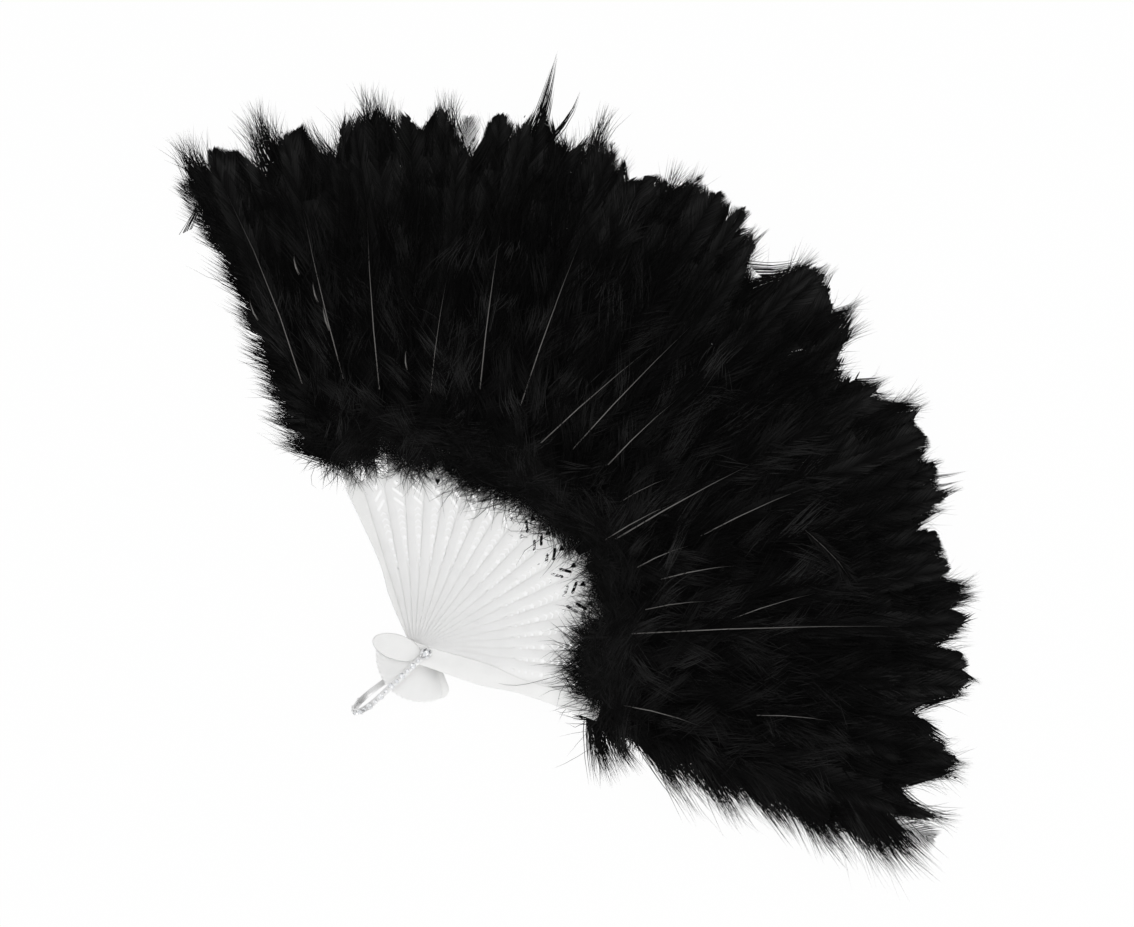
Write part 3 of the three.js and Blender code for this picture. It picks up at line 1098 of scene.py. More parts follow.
@dataclass(frozen=True)
class Lock:
    """Barbs gathered to a point, like the tip of a brush: its tip lies at a stave place and a reach."""

    place: float
    reach: float
    length: float = 30.0
    bend: float = 3.0
    barbs: int = 22
    half_width: float = 2.2
    tip_width: float = 0.5
    radius: float = 0.1
    height: float = 1.0
    shade: tuple[float, float] = (0.0, 0.5)
    shortest: float = 0.5
    short_skew: float = 1.6
    gathering: float = 0.8
    taper: tuple[float, ...] = (1.3, 1.2, 0.8, 0.2)

    def strands(self, rng: np.random.Generator, stave: int, step_deg: float, gain: float = 1.0) -> Strands:
        """Gathers the barbs.

        Args:
            rng: the source of chance.
            stave: the stave that carries the lock.
            step_deg: the angle between staves.
            gain: what its reach is multiplied by.

        Returns:
            The barbs, in the stave's plume frame.
        """
        t = np.linspace(0.0, 1.0, LONG_BARB + 1)
        short = self.shortest * rng.uniform(0.0, 1.0, (self.barbs, 1)) ** self.short_skew
        back = 1.0 - t * (1.0 - short)
        loose = rng.normal(0.0, self.half_width, (self.barbs, 1)) * back**self.gathering
        loose = loose + rng.normal(0.0, self.tip_width, (self.barbs, 1)) * t**2
        off = loose - self.bend * back**2
        out = self.reach * gain - self.length * back
        up = self.height + rng.normal(0.0, 1.0, (self.barbs, 1)) * back
        turn = math.radians((stave - self.place) * step_deg)
        points = np.stack(
            [
                out * math.cos(turn) - off * math.sin(turn),
                out * math.sin(turn) + off * math.cos(turn),
                up,
            ],
            axis=-1,
        )
        radii = self.radius * np.array(self.taper) * np.ones((self.barbs, 1))
        return Strands(points, radii, rng.uniform(*self.shade, self.barbs))


@dataclass(frozen=True)
class Quill:
    """The stretch of a quill that shows above the down: where it starts and stops, out and sideways."""

    stave: int
    start: float
    stop: float
    off_start: float
    off_stop: float
    radius: float = 0.26
    bow: float = 1.0
    slack: float = 7.0
    low: float = 3.3
    arch: float = 2.9
    taper: tuple[float, ...] = (1.0, 0.9, 0.6, 0.25)

    def strands(self) -> Strands:
        """Arches the quill up out of the down and back into it."""
        t = np.linspace(0.0, 1.0, LONG_BARB + 1)
        out = self.start + (self.stop - self.start) * t + self.slack * (t * 2 - 1)
        off = self.off_start + (self.off_stop - self.off_start) * t + self.bow * np.sin(t * math.pi)
        up = self.low + self.arch * np.sin(t * math.pi)
        points = np.stack([out, off, up], axis=-1)[None]
        radii = self.radius * np.array([self.taper])
        return Strands(points, radii, np.array([HORN_SHADE]))


@dataclass(frozen=True)
class ThinVane:
    """A worn vane at the rim, with so few barbs that light comes through."""

    stave: int
    lean: float
    reach: float
    half_width: float


@dataclass(frozen=True)
class FreeSide:
    """How an end plume hangs over a free side of the fan. A tuft has a place out, an angle and a length."""

    side: Side
    angle: tuple[float, float]
    length: tuple[float, float]
    tufts: tuple[tuple[float, float, float], ...]


# Locks that stand out of the rim: place, reach, length, bend, barbs, half width, tip width and radius
SPIKES = (
    Lock(-0.49, 241.0, 34.0, 3.0, 44, 3.4, 2.2, 0.14),
    Lock(5.11, 265.0, 40.0, -2.5, 26, 2.0, 0.15, 0.15),
    Lock(5.13, 252.0, 30.0, -2.0, 26, 2.8, 0.3, 0.14),
    Lock(5.56, 251.0, 26.0, -7.0, 16, 1.1, 0.15, 0.14),
    Lock(7.70, 240.0, 22.0, 2.0, 14, 1.8, 0.2),
    Lock(9.00, 236.0, 26.0, -9.0, 22, 1.2, 0.3, 0.15),
    Lock(10.12, 245.0, 24.0, 2.0, 8, 1.2, 0.1),
    Lock(10.17, 245.0, 24.0, -2.0, 8, 1.2, 0.1),
    Lock(10.75, 243.0, 30.0, 3.0, 26, 3.0, 0.8),
    Lock(11.95, 231.0, 26.0, -6.0, 16, 1.6, 0.4),
    Lock(12.57, 243.0, 30.0, 3.0, 24, 2.8, 0.5),
    Lock(13.72, 247.0, 26.0, -5.0, 9, 0.9, 0.1),
    Lock(13.83, 244.0, 26.0, -4.0, 11, 1.2, 0.15),
    Lock(13.95, 239.0, 28.0, -3.0, 24, 3.0, 0.5),
    Lock(16.30, 238.0, 22.0, 4.0, 5, 0.8, 0.3, 0.07),
    Lock(16.86, 240.0, 28.0, 2.0, 22, 2.6, 0.4),
    Lock(18.97, 237.0, 26.0, -6.0, 7, 0.8, 0.5, 0.09),
    Lock(19.22, 236.0, 26.0, -5.0, 5, 0.7, 0.3, 0.08),
)
# Quills that show above the down, and a few short pale strokes: stave, start, stop, the places to the left
# there, and the radius
QUILLS = (
    Quill(0, 136.0, 214.0, 4.0, 3.0, bow=-2.0),
    Quill(1, 132.0, 197.0, 1.5, -1.5),
    # Short pale strokes in the horn's colour give pale specks near quills 0 and 1; the one along quill 1
    # itself is a painted highlight, a glint on it
    Quill(0, 164.0, 171.0, 11.3, 10.8, 0.4, slack=2.0),
    Quill(1, 176.0, 182.0, 7.9, 7.4, 0.45, slack=2.0),
    Quill(1, 162.0, 169.0, 3.2, 2.4, 0.4, slack=2.0),
    Quill(1, 149.0, 158.0, 1.6, 1.0, 0.5, slack=2.0),
    Quill(2, 124.0, 189.0, 1.5, -5.0),
    Quill(3, 126.0, 132.0, 3.1, 2.8, 0.35, slack=2.0),
    Quill(4, 120.0, 160.0, 6.8, 3.8, 0.15),
    Quill(5, 125.0, 184.0, -0.5, 5.0),
    Quill(6, 123.0, 191.0, -5.5, -7.5),
    Quill(8, 112.0, 164.0, 6.0, -14.0),
    Quill(9, 117.0, 181.0, 6.0, -0.5),
    Quill(10, 122.0, 151.0, 3.5, 3.0),
    Quill(11, 115.0, 126.0, 1.0, -4.0, 0.2),
    Quill(12, 104.0, 163.0, 1.0, -1.0, 0.34),
    Quill(12, 100.0, 122.0, 3.0, 1.5, 0.26),
    Quill(13, 138.0, 177.0, -1.0, 0.0),
    Quill(13, 107.0, 119.0, -2.5, -3.0),
    Quill(14, 115.0, 136.0, 1.5, -2.5),
    Quill(15, 105.0, 121.0, 2.5, 1.0, 0.2),
    Quill(15, 141.0, 168.0, -8.0, -3.0, 0.2),
    Quill(16, 97.0, 208.0, 4.0, 1.0),
    Quill(18, 154.0, 175.0, 0.5, 4.0, 0.18),
    Quill(19, 96.0, 118.0, 4.5, 6.0),
)
# Worn vanes at the rim: stave, lean, reach and half width
THIN_VANES = (
    ThinVane(0, 19.0, 231.0, 5.5),
    ThinVane(4, 0.5, 237.0, 7.5),
    ThinVane(6, -3.5, 239.0, 9.5),
    ThinVane(13, -9.0, 236.0, 5.0),
    ThinVane(17, 6.5, 238.0, 5.0),
    ThinVane(19, -10.0, 238.0, 8.0),
)
# The two free sides, by the stave that carries them
FREE_SIDES = {
    0: FreeSide(
        Side.LEFT,
        (40.0, 64.0),
        (20.0, 33.0),
        (
            (94.0, 66.0, 28.0), (106.0, 62.0, 31.0), (118.0, 56.0, 29.0), (146.0, 50.0, 30.0),
            (168.0, 46.0, 32.0), (186.0, 56.0, 33.0), (198.0, 54.0, 35.0), (208.0, 50.0, 35.0),
        ),
    ),
    19: FreeSide(
        Side.RIGHT,
        (36.0, 58.0),
        (34.0, 48.0),
        (
            (78.0, 80.0, 35.0), (82.0, 62.0, 31.0), (101.0, 48.0, 30.0), (140.0, 44.0, 42.0),
            (160.0, 38.0, 46.0),
        ),
    ),
}
# Open fans of hair on the rim, as their places and reaches
RIM_FANS = (
    (-0.45, 247.0), (-0.30, 244.0), (0.60, 242.0), (0.72, 249.0), (0.86, 245.0), (2.42, 247.0),
    (2.60, 244.0), (3.72, 243.0), (6.0, 250.0), (7.35, 240.0), (9.75, 243.0), (11.0, 241.0),
    (12.45, 244.0), (15.5, 242.0), (18.2, 240.0), (19.0, 241.0),
)
# One long hair that curls over the front guard, as points out, left and up, and its radii from root to tip
STRAY_HAIR = (
    (70.0, 16.0, 2.2), (63.9, 12.1, 2.0), (57.5, 8.0, 2.0), (52.0, 4.4, 1.9), (46.5, 1.0, 1.8),
    (42.0, -1.2, 1.7), (37.5, -2.4, 1.6), (33.2, -2.8, 1.5),
)
STRAY_HAIR_RADII = (0.16, 0.05)
STRAY_HAIR_SHADE = 0.2


@dataclass(frozen=True)
class StrayFeather:
    """A small loose feather that lies across the down of one plume, on a bent quill."""

    stave: int = 14
    path: tuple[tuple[float, float], ...] = ((174.5, 4.0), (180.0, -5.0), (184.5, -13.5), (187.5, -22.5))
    height: float = 7.0
    pairs: int = 46
    barb: float = 9.0
    angle: float = 32.0
    angle_spread: float = 6.0
    length_spread: float = 0.8
    bend: float = 14.0
    arch: float = 0.8
    uneven: float = 0.3
    radius: float = 0.17
    shade: tuple[float, float] = (0.3, 0.7)
    bare_tip: float = 0.05
    look_ahead: float = 0.1
    end_course: tuple[float, float] = (1e-3, -1e-3)
    root_fullness: float = 0.3
    belly: float = 0.8
    quill_lift: float = 0.6
    quill_radii: tuple[float, ...] = (0.05, 0.09, 0.12, 0.08)

    def quill(self) -> Strands:
        """Draws the bent quill."""
        line = np.array(self.path)
        points = np.column_stack([line, np.full(len(line), self.height + self.quill_lift)])[None]
        return Strands(points, np.array([self.quill_radii]), np.array([HORN_SHADE]))

    def barbs(self, rng: np.random.Generator) -> Strands:
        """Lays soft barbs on both sides of the quill.

        Args:
            rng: the source of chance.

        Returns:
            The barbs, in the plume's frame.
        """
        line = np.array(self.path)
        share = np.repeat(np.linspace(0.0, 1.0 - self.bare_tip, self.pairs), len(Side))
        side = np.tile([s.value for s in Side], self.pairs)
        count = len(side)
        root, ahead = (self._along(line, at) for at in (share, share + self.look_ahead))
        course = np.arctan2(*(ahead - root + np.array(self.end_course)).T[::-1])
        turn = course + side * np.radians(self.angle + rng.normal(0.0, self.angle_spread, count))
        filled = self.root_fullness + (1.0 - self.root_fullness) * share
        fullness = np.sin(np.clip(filled, 0.0, 1.0) * math.pi * self.belly)
        length = self.barb * fullness + rng.normal(0.0, self.length_spread, count)
        t = np.linspace(0.0, 1.0, LONG_BARB + 1)
        bent = turn[:, None] - side[:, None] * np.radians(self.bend) * t
        out = root[:, :1] + length[:, None] * t * np.cos(bent)
        off = root[:, 1:] + length[:, None] * t * np.sin(bent)
        up = self.height + self.arch * np.sin(t * math.pi) + rng.normal(0.0, self.uneven, (count, 1))
        radii = self.radius * BARB_TAPER * np.ones((count, 1))
        return Strands(np.stack([out, off, up], axis=-1), radii, rng.uniform(*self.shade, count))

    @staticmethod
    def _along(line: np.ndarray, share: np.ndarray) -> np.ndarray:
        """Gives the points at shares of a line, which stops at its last point.

        Args:
            line: the line's points.
            share: the shares of the line.

        Returns:
            A point for each share.
        """
        knots = np.linspace(0.0, 1.0, len(line))
        return np.stack([np.interp(share, knots, line[:, axis]) for axis in range(2)], axis=-1)


STRAY_FEATHER = StrayFeather()


@dataclass
class Plume:
    """All the feathers glued to one stave.

    A broad feather has a lean and a height. The keeps are shares of a plume's height, and room is how far
    barbs may reach to the sides and ahead. Locks and hairs pass the rim by a chance amount where it is
    loose, and by a set one where it is the cut end of a vane.
    """

    stave: Stave
    last: int
    barb: bpy.types.Material
    horn: bpy.types.Material
    outline: FanOutline
    shadowed_from: int = 4
    well_shadowed_from: int = 9
    keep: float = 0.12
    outer_keep: float = 0.3
    flats: tuple[tuple[float, float], ...] = ((-11.0, -1.0), (11.0, -0.3), (0.0, 0.5))
    flat_reach: float = 243.0
    flat_half_width: tuple[float, float] = (13.0, 16.0)
    flat_lean_spread: float = 2.0
    quill_half_width: tuple[float, float] = (7.0, 10.0)
    least_shown: float = 25.0
    vane_gap: float = 5.0
    quill_vane_gap: float = 4.0
    rim_locks: int = 11
    lock_past: tuple[float, float] = (3.5, 2.0)
    lock_past_cut: float = -4.0
    rim_hairs: int = 9
    hair_past: tuple[float, float] = (3.0, 11.0)
    hair_past_cut: float = 1.0
    rim_spread: float = 0.6
    end_room: float = 0.3
    over_floor: float = 0.5
    room: tuple[float, float] = (237.5, 250.0)
    least_share: float = 0.1

    def build(self) -> list[bpy.types.Object]:
        """Makes the barbs and the quills, and lets them ride on the stave.

        Returns:
            The new pieces.
        """
        rng = np.random.default_rng(SEED + self.stave.place)
        sets = [Strands.joined(self._flats(rng)), Strands.joined(self._down(rng) + self._rim(rng))]
        if self.stave.place == self.last:
            hair = np.array(STRAY_HAIR)[None]
            radii = np.linspace(*STRAY_HAIR_RADII, len(STRAY_HAIR))[None]
            sets.append(Strands(hair, radii, np.array([STRAY_HAIR_SHADE])))
        lowest = self.over_floor - self.stave.seat
        for strands in sets:
            strands.points[..., 2] = np.maximum(strands.points[..., 2], lowest)
            self._fit(strands)
        barbs = strand_object(self.stave.plume + "_barbs", sets, self.stave.to_frame(), self.barb)
        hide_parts(self.stave.plume)
        pieces = [barbs]
        quills = [q.strands() for q in QUILLS if q.stave == self.stave.place]
        if self.stave.place == STRAY_FEATHER.stave:
            quills.append(STRAY_FEATHER.quill())
        if quills:
            name = self.stave.plume + "_quill"
            pieces.append(strand_object(name, [Strands.joined(quills)], self.stave.to_frame(), self.horn))
        for piece in pieces:
            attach(piece, self.stave.body)
        return pieces

    def _fit(self, strands: Strands) -> None:
        """Shortens, towards its root, each strand that would leave the room round the fan.

        Args:
            strands: the strands, which are changed in place.
        """
        turn = np.array(self.stave.to_frame().to_3x3())
        spots = strands.points @ turn.T
        root = spots[:, :1]
        past = np.ones(spots.shape)
        for axis, limit in enumerate(self.room):
            over = np.abs(spots[..., axis]) > limit
            edge = np.sign(spots[..., axis]) * limit
            grown = np.where(over, spots[..., axis] - root[..., axis], 1.0)
            past[..., axis] = np.where(over, (edge - root[..., axis]) / grown, 1.0)
        share = past.min(axis=(1, 2)).clip(self.least_share, 1.0)[:, None, None]
        start = strands.points[:, :1]
        strands.points[:] = start + (strands.points - start) * share

    def flatten(self, pieces: list[bpy.types.Object]) -> None:
        """Gives each of the plume's pieces its own copy of its mesh.

        Args:
            pieces: the plume's pieces.
        """
        for piece in pieces:
            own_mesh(piece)

    def _flats(self, rng: np.random.Generator) -> list[Strands]:
        """Lays broad feathers side by side, so that the fan is closed between the staves.

        Args:
            rng: the source of chance.

        Returns:
            The barbs, in the plume's frame.
        """
        place = self.stave.place
        feathers = []
        for lean, height in self.flats:
            feathers.append(
                FlatFeather(
                    stave=place,
                    outline=self.outline,
                    reach=self.flat_reach,
                    half_width=rng.uniform(*self.flat_half_width),
                    lean=lean + rng.normal(0.0, self.flat_lean_spread),
                    height=height,
                    vane_from=self.outline.collar[place] + self.vane_gap,
                ).barbs(rng)
            )
        for quill in QUILLS:
            if quill.stave == place and quill.stop - quill.start > self.least_shown:
                vane = FlatFeather(
                    stave=place, outline=self.outline, reach=self.flat_reach,
                    half_width=rng.uniform(*self.quill_half_width), lean=0.0, height=1.6,
                    vane_from=quill.start + self.quill_vane_gap, pitch=0.6, radius=0.22, base_angle=36.0,
                    tip_angle=22.0, shade=(0.35, 0.8), shaded_share=0.8, droop=3.2,
                ).barbs(rng)
                ends = (quill.start, quill.stop)
                offs = (quill.off_start, quill.off_stop)
                vane.points[..., 1] += np.interp(vane.points[..., 0], ends, offs)
                feathers.append(vane)
        for thin in THIN_VANES:
            if thin.stave == place:
                feathers.append(
                    FlatFeather(
                        stave=place, outline=self.outline, reach=thin.reach, half_width=thin.half_width,
                        lean=thin.lean, height=0.2, vane_from=195.0, pitch=0.7, radius=0.16, trimmed=False,
                    ).barbs(rng)
                )
        return feathers

    def _down(self, rng: np.random.Generator) -> list[Strands]:
        """Grows the downy barbs: along the quill, round its root and over the sticks.

        Args:
            rng: the source of chance.

        Returns:
            The barbs, in the plume's frame.
        """
        place = self.stave.place
        inner = self.outline.collar[place]
        rim = float(self.outline.reach(place))
        beds = [
            # Short dark down that closes the collar
            TuftBed(
                count=20, out=(inner + 8.0, inner + 26.0), angle=(55.0, 125.0), length=(8.0, 13.0),
                lift=(-1.5, 0.5), per_tuft=12, curl=10.0, radius=0.3, off=2.5, fan=0.8, shade=(0.0, 0.25),
            ),
            # Down from the collar outwards
            TuftBed(
                count=28, out=(inner + 10.0, 126.0), angle=(18.0, 75.0), length=(18.0, 30.0),
                lift=(-1.5, 5.5), per_tuft=22, curl=18.0,
            ),
            # Down over the plume's middle
            TuftBed(
                count=42, out=(108.0, 180.0), angle=(14.0, 44.0), length=(22.0, 36.0), lift=(-1.5, 5.0),
                per_tuft=20, spread=3.0,
            ),
            # Lower down towards the rim
            TuftBed(
                count=20, out=(rim - 70.0, rim - 30.0), angle=(12.0, 36.0), length=(16.0, 27.0),
                lift=(-1.0, 2.8), per_tuft=22,
            ),
            # Small tufts that lie on top
            TuftBed(
                count=8, out=(100.0, 186.0), angle=(14.0, 50.0), length=(10.0, 18.0), lift=(0.5, 3.5),
                floor=(1.5, 3.2), per_tuft=16, off=5.0,
            ),
            # Curled hair of the collar, from black to grey
            TuftBed(
                count=34, out=(inner + 4.0, inner + 20.0), angle=(60.0, 180.0), length=(10.0, 21.0),
                lift=(-0.5, 4.0), floor=(0.5, 1.5), per_tuft=20, straighten=0.15, curl=22.0, jitter=6.0,
                radius=0.14, off=4.0, fan=0.4, shade=(0.1, 1.0),
            ),
            # Single wisps over the sticks
            TuftBed(
                count=12, out=(inner + 2.0, inner + 12.0), angle=(115.0, 180.0), length=(13.0, 25.0),
                lift=(0.0, 3.0), floor=(0.5, 1.5), per_tuft=6, gather=1.5, straighten=0.1, curl=34.0,
                jitter=12.0, radius=0.13, off=5.0, fan=0.7,
            ),
        ]
        if place not in FREE_SIDES:
            # Long black tufts along the plume, painted shade for the shadowed gaps between feathers
            beds.append(
                TuftBed(
                    count=9, out=(104.0, 186.0), angle=(3.0, 16.0), length=(30.0, 55.0), lift=(0.8, 3.4),
                    floor=(0.5, 1.8), per_tuft=24, spread=1.8, gather=0.5, curl=6.0, jitter=2.5,
                    radius=0.22, off=8.0, shade=(0.0, 0.03),
                )
            )
        if place >= self.shadowed_from:
            # Dark down behind the pierced ends of the sticks
            under = (14.0, 23.0) if place >= self.well_shadowed_from else (8.0, 13.0)
            beds.append(
                TuftBed(
                    count=11, out=(82.0, 90.0), angle=(165.0, 195.0), length=under, lift=(-1.6, -1.0),
                    floor=(-1.0, -1.0), per_tuft=14, straighten=0.0, curl=6.0, radius=0.33, off=3.5,
                    fan=0.9, shade=(0.0, 0.2),
                )
            )
        free = FREE_SIDES.get(place)
        if free:
            beds += self._free_beds(free, rim)
        return [bed.barbs(rng) for bed in beds]

    @staticmethod
    def _free_beds(free: FreeSide, rim: float) -> list[TuftBed]:
        """Lays out the down, the gathered tufts and the fine hair that hang over a free side.

        Args:
            free: the free side.
            rim: the reach of the rim at its stave.

        Returns:
            The beds, in the order in which they grow.
        """
        longest = free.length[1]
        down = TuftBed(
            count=76, out=(92.0, rim - 28.0), angle=free.angle, length=free.length, lift=(-3.0, 2.5),
            per_tuft=32, curl=8.0, radius=0.2, sides=(free.side,), fan=0.35,
        )
        tufts = [
            TuftBed(
                count=5, out=(out - 2.5, out + 2.5), angle=(angle - 8.0, angle + 8.0),
                length=(length - 3.0, length), lift=(-2.0, 1.5), per_tuft=34, spread=1.4, curl=6.0,
                jitter=5.0, fan=0.15, sides=(free.side,),
            )
            for out, angle, length in free.tufts
        ]
        hair = TuftBed(
            count=14, out=(90.0, rim - 34.0), angle=free.angle, length=(longest, longest + 6.0),
            lift=(-3.0, 2.0), per_tuft=7, gather=1.8, curl=9.0, radius=0.09, sides=(free.side,),
        )
        return [down, *tufts, hair]

    def _rim(self, rng: np.random.Generator) -> list[Strands]:
        """Stands loose locks and fine hairs on the rim, and lays the stray feather on its plume.

        Args:
            rng: the source of chance.

        Returns:
            The barbs, in the plume's frame.
        """
        place = self.stave.place
        step = self.outline.step_deg
        gain = self.outline.depth_gain
        spread = self.rim_spread
        parts = [s.strands(rng, place, step, gain) for s in SPIKES if round(s.place) == place]
        ends = (-self.end_room, self.last + self.end_room)
        for at in np.clip(place + rng.uniform(-spread, spread, self.rim_locks), *ends):
            past = rng.normal(*self.lock_past) if self.outline.loose(at) else self.lock_past_cut
            lock = Lock(
                place=at,
                reach=float(self.outline.reach(at)) + past,
                length=rng.uniform(20.0, 32.0),
                bend=rng.normal(0.0, 4.0),
                barbs=32,
                half_width=rng.uniform(1.8, 3.4),
                tip_width=rng.uniform(0.3, 1.4),
                radius=rng.uniform(0.11, 0.16),
                height=rng.uniform(-0.5, 1.5),
            )
            parts.append(lock.strands(rng, place, step))
        for at in np.clip(place + rng.uniform(-spread, spread, self.rim_hairs), *ends):
            past = rng.uniform(*self.hair_past) if self.outline.loose(at) else self.hair_past_cut
            hair = Lock(
                place=at,
                reach=float(self.outline.reach(at)) + past,
                length=rng.uniform(24.0, 34.0),
                bend=rng.normal(0.0, 7.0),
                barbs=18,
                half_width=1.4,
                tip_width=rng.uniform(2.5, 5.0),
                radius=0.09,
                height=0.5,
            )
            parts.append(hair.strands(rng, place, step))
        for at, reach in RIM_FANS:
            if round(at) == place:
                fan = Lock(
                    place=at, reach=reach, length=30.0, bend=2.0, barbs=64, half_width=2.4, tip_width=4.5,
                    radius=0.12, height=0.5,
                )
                parts.append(fan.strands(rng, place, step, gain))
        if place == STRAY_FEATHER.stave:
            parts.append(STRAY_FEATHER.barbs(rng))
        return parts


# Edges that turn by more than these are rounded, and keep a crease when the faces are shaded smooth
SHARP_ANGLE = math.radians(50.0)
CREASE_ANGLE = math.radians(40.0)


def round_edges(
    shape: bmesh.types.BMesh, edges: Sequence[bmesh.types.BMEdge], radius: float, steps: int
) -> None:
    """Rounds some edges of a mesh.

    Args:
        shape: the mesh, in metres.
        edges: the edges.
        radius: the rounding, in millimetres.
        steps: how many faces make the rounding.
    """
    bmesh.ops.bevel(
        shape,
        geom=edges,
        offset=radius * MM,
        offset_type="OFFSET",
        affect="EDGES",
        segments=steps,
        profile=0.5,
        material=-1,
        clamp_overlap=True,
    )


def soften_edges(shape: bmesh.types.BMesh, radius: float, steps: int) -> None:
    """Rounds every sharp edge of a closed mesh.

    Args:
        shape: the mesh, in metres.
        radius: the rounding, in millimetres.
        steps: how many faces make the rounding.
    """
    sharp = [e for e in shape.edges if e.is_manifold and e.calc_face_angle() > SHARP_ANGLE]
    round_edges(shape, sharp, radius, steps)


def shade_smooth(thing: bpy.types.Object) -> None:
    """Shades an object's faces smooth and keeps its creases."""
    mesh = thing.data
    mesh.polygons.foreach_set("use_smooth", [True] * len(mesh.polygons))
    mesh.set_sharp_from_angle(angle=CREASE_ANGLE)


def copy_of(node: bpy.types.Object) -> bmesh.types.BMesh:
    """Copies a CAD node's mesh, with its points welded and its flat faces made whole.

    Args:
        node: the CAD node.

    Returns:
        The copy, in metres.
    """
    shape = bmesh.new()
    shape.from_mesh(node.data)
    bmesh.ops.remove_doubles(shape, verts=shape.verts, dist=WELD)
    bmesh.ops.dissolve_limit(shape, angle_limit=FLAT_LIMIT, verts=shape.verts, edges=shape.edges)
    return shape


@dataclass
class Stick:
    """A pierced stick: its CAD blade, thinned towards the sides that show.

    Those are the blade's left side and the tail's two sides.
    """

    stave: Stave
    plastic: bpy.types.Material
    neck_half_width: float = 3.6
    end_half_width: float = 5.4
    blade_length: float = 80.0
    thin_width: float = 3.2
    thin_by: float = 0.5
    tail_from: float = -2.0

    def build(self, node: bpy.types.Object) -> bpy.types.Object:
        """Makes the blade from a copy of its node.

        Args:
            node: the stick's CAD node.

        Returns:
            The new piece.
        """
        shape = copy_of(node)
        for side in Side:
            self._thin(shape, side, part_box(self.stave.stick)[1][2])
        blade = mesh_object(self.stave.stick + "_blade", shape, self.plastic)
        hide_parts(self.stave.stick)
        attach(blade, self.stave.body)
        return blade

    def _thin(self, shape: bmesh.types.BMesh, side: Side, top: float) -> None:
        """Slopes the top down to one long side.

        Args:
            shape: the stick, which is changed.
            side: the long side; on the right, only the part behind the rivet is sloped.
            top: the height of the stick's top, in metres.
        """
        flare = (self.end_half_width - self.neck_half_width) / self.blade_length
        turn = Matrix.Rotation(self.stave.angle, 3, "Z")
        across = (turn @ Vector((-flare, side.value, 0.0))).normalized()
        ridge = turn @ Vector((0.0, side.value * (self.neck_half_width - self.thin_width) * MM, 0.0))
        split(shape, ridge, across)
        along = turn @ Vector((1.0, 0.0, 0.0))
        tail = along * self.tail_from * MM
        split(shape, tail, along)
        for vert in shape.verts:
            past = (vert.co - ridge).dot(across) / (self.thin_width * MM)
            shows = side is Side.LEFT or (vert.co - tail).dot(along) < -SKIN
            if shows and past > 0.0 and vert.co.z > top - SKIN:
                vert.co.z = top - self.thin_by * MM * min(past, 1.0)


@dataclass
class Guard:
    """A guard: its CAD blade with softened edges, and on the front one a raised oval under the thumb."""

    stave: Stave
    plastic: bpy.types.Material
    edge: float = 0.3
    edge_steps: int = 3
    has_oval: bool = False
    step_down: float = 0.45
    oval_centre: float = 12.7
    oval_offset: float = 1.1
    oval_half_length: float = 10.9
    oval_half_width: float = 5.5
    oval_base: float = 0.1
    oval_edge: float = 0.6
    oval_edge_steps: int = 6
    oval_sides: int = 64

    def build(self, node: bpy.types.Object) -> list[bpy.types.Object]:
        """Makes the blade from a copy of its node, and the oval.

        Args:
            node: the guard's CAD node.

        Returns:
            The new pieces.
        """
        low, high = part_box(self.stave.stick)
        shape = copy_of(node)
        if self.has_oval:
            top = [v for v in shape.verts if v.co.z > high[2] - SKIN]
            bmesh.ops.translate(shape, verts=top, vec=(0.0, 0.0, -self.step_down * MM))
        soften_edges(shape, self.edge, self.edge_steps)
        blade = mesh_object(self.stave.stick + "_blade", shape, self.plastic)
        shade_smooth(blade)
        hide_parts(self.stave.stick)
        pieces = [blade]
        if self.has_oval:
            pieces.append(self._oval(low[2] + self.oval_base * MM, high[2]))
        for piece in pieces:
            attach(piece, self.stave.body)
        return pieces

    def _oval(self, bottom: float, top: float) -> bpy.types.Object:
        """Makes the oval on the tail, a disc with a round edge.

        Args:
            bottom: the height of its underside, in metres.
            top: the height of its top, in metres.

        Returns:
            The new piece.
        """
        shape = bmesh.new()
        bmesh.ops.create_circle(shape, cap_ends=True, segments=self.oval_sides, radius=MM)
        bmesh.ops.scale(shape, verts=shape.verts, vec=(self.oval_half_length, self.oval_half_width, 1.0))
        grown = bmesh.ops.extrude_face_region(shape, geom=shape.faces[:])
        raised = [g for g in grown["geom"] if isinstance(g, bmesh.types.BMVert)]
        bmesh.ops.translate(shape, verts=raised, vec=(0.0, 0.0, top - bottom))
        bmesh.ops.recalc_face_normals(shape, faces=shape.faces)
        rim = [e for e in shape.edges if all(v in raised for v in e.verts)]
        round_edges(shape, rim, self.oval_edge, self.oval_edge_steps)
        spot = Vector((-self.oval_centre * MM, -self.oval_offset * MM, bottom))
        place = Matrix.Rotation(self.stave.angle, 4, "Z") @ Matrix.Translation(spot)
        bmesh.ops.transform(shape, matrix=place, verts=shape.verts)
        oval = mesh_object(self.stave.stick + "_oval", shape, self.plastic)
        shade_smooth(oval)
        return oval


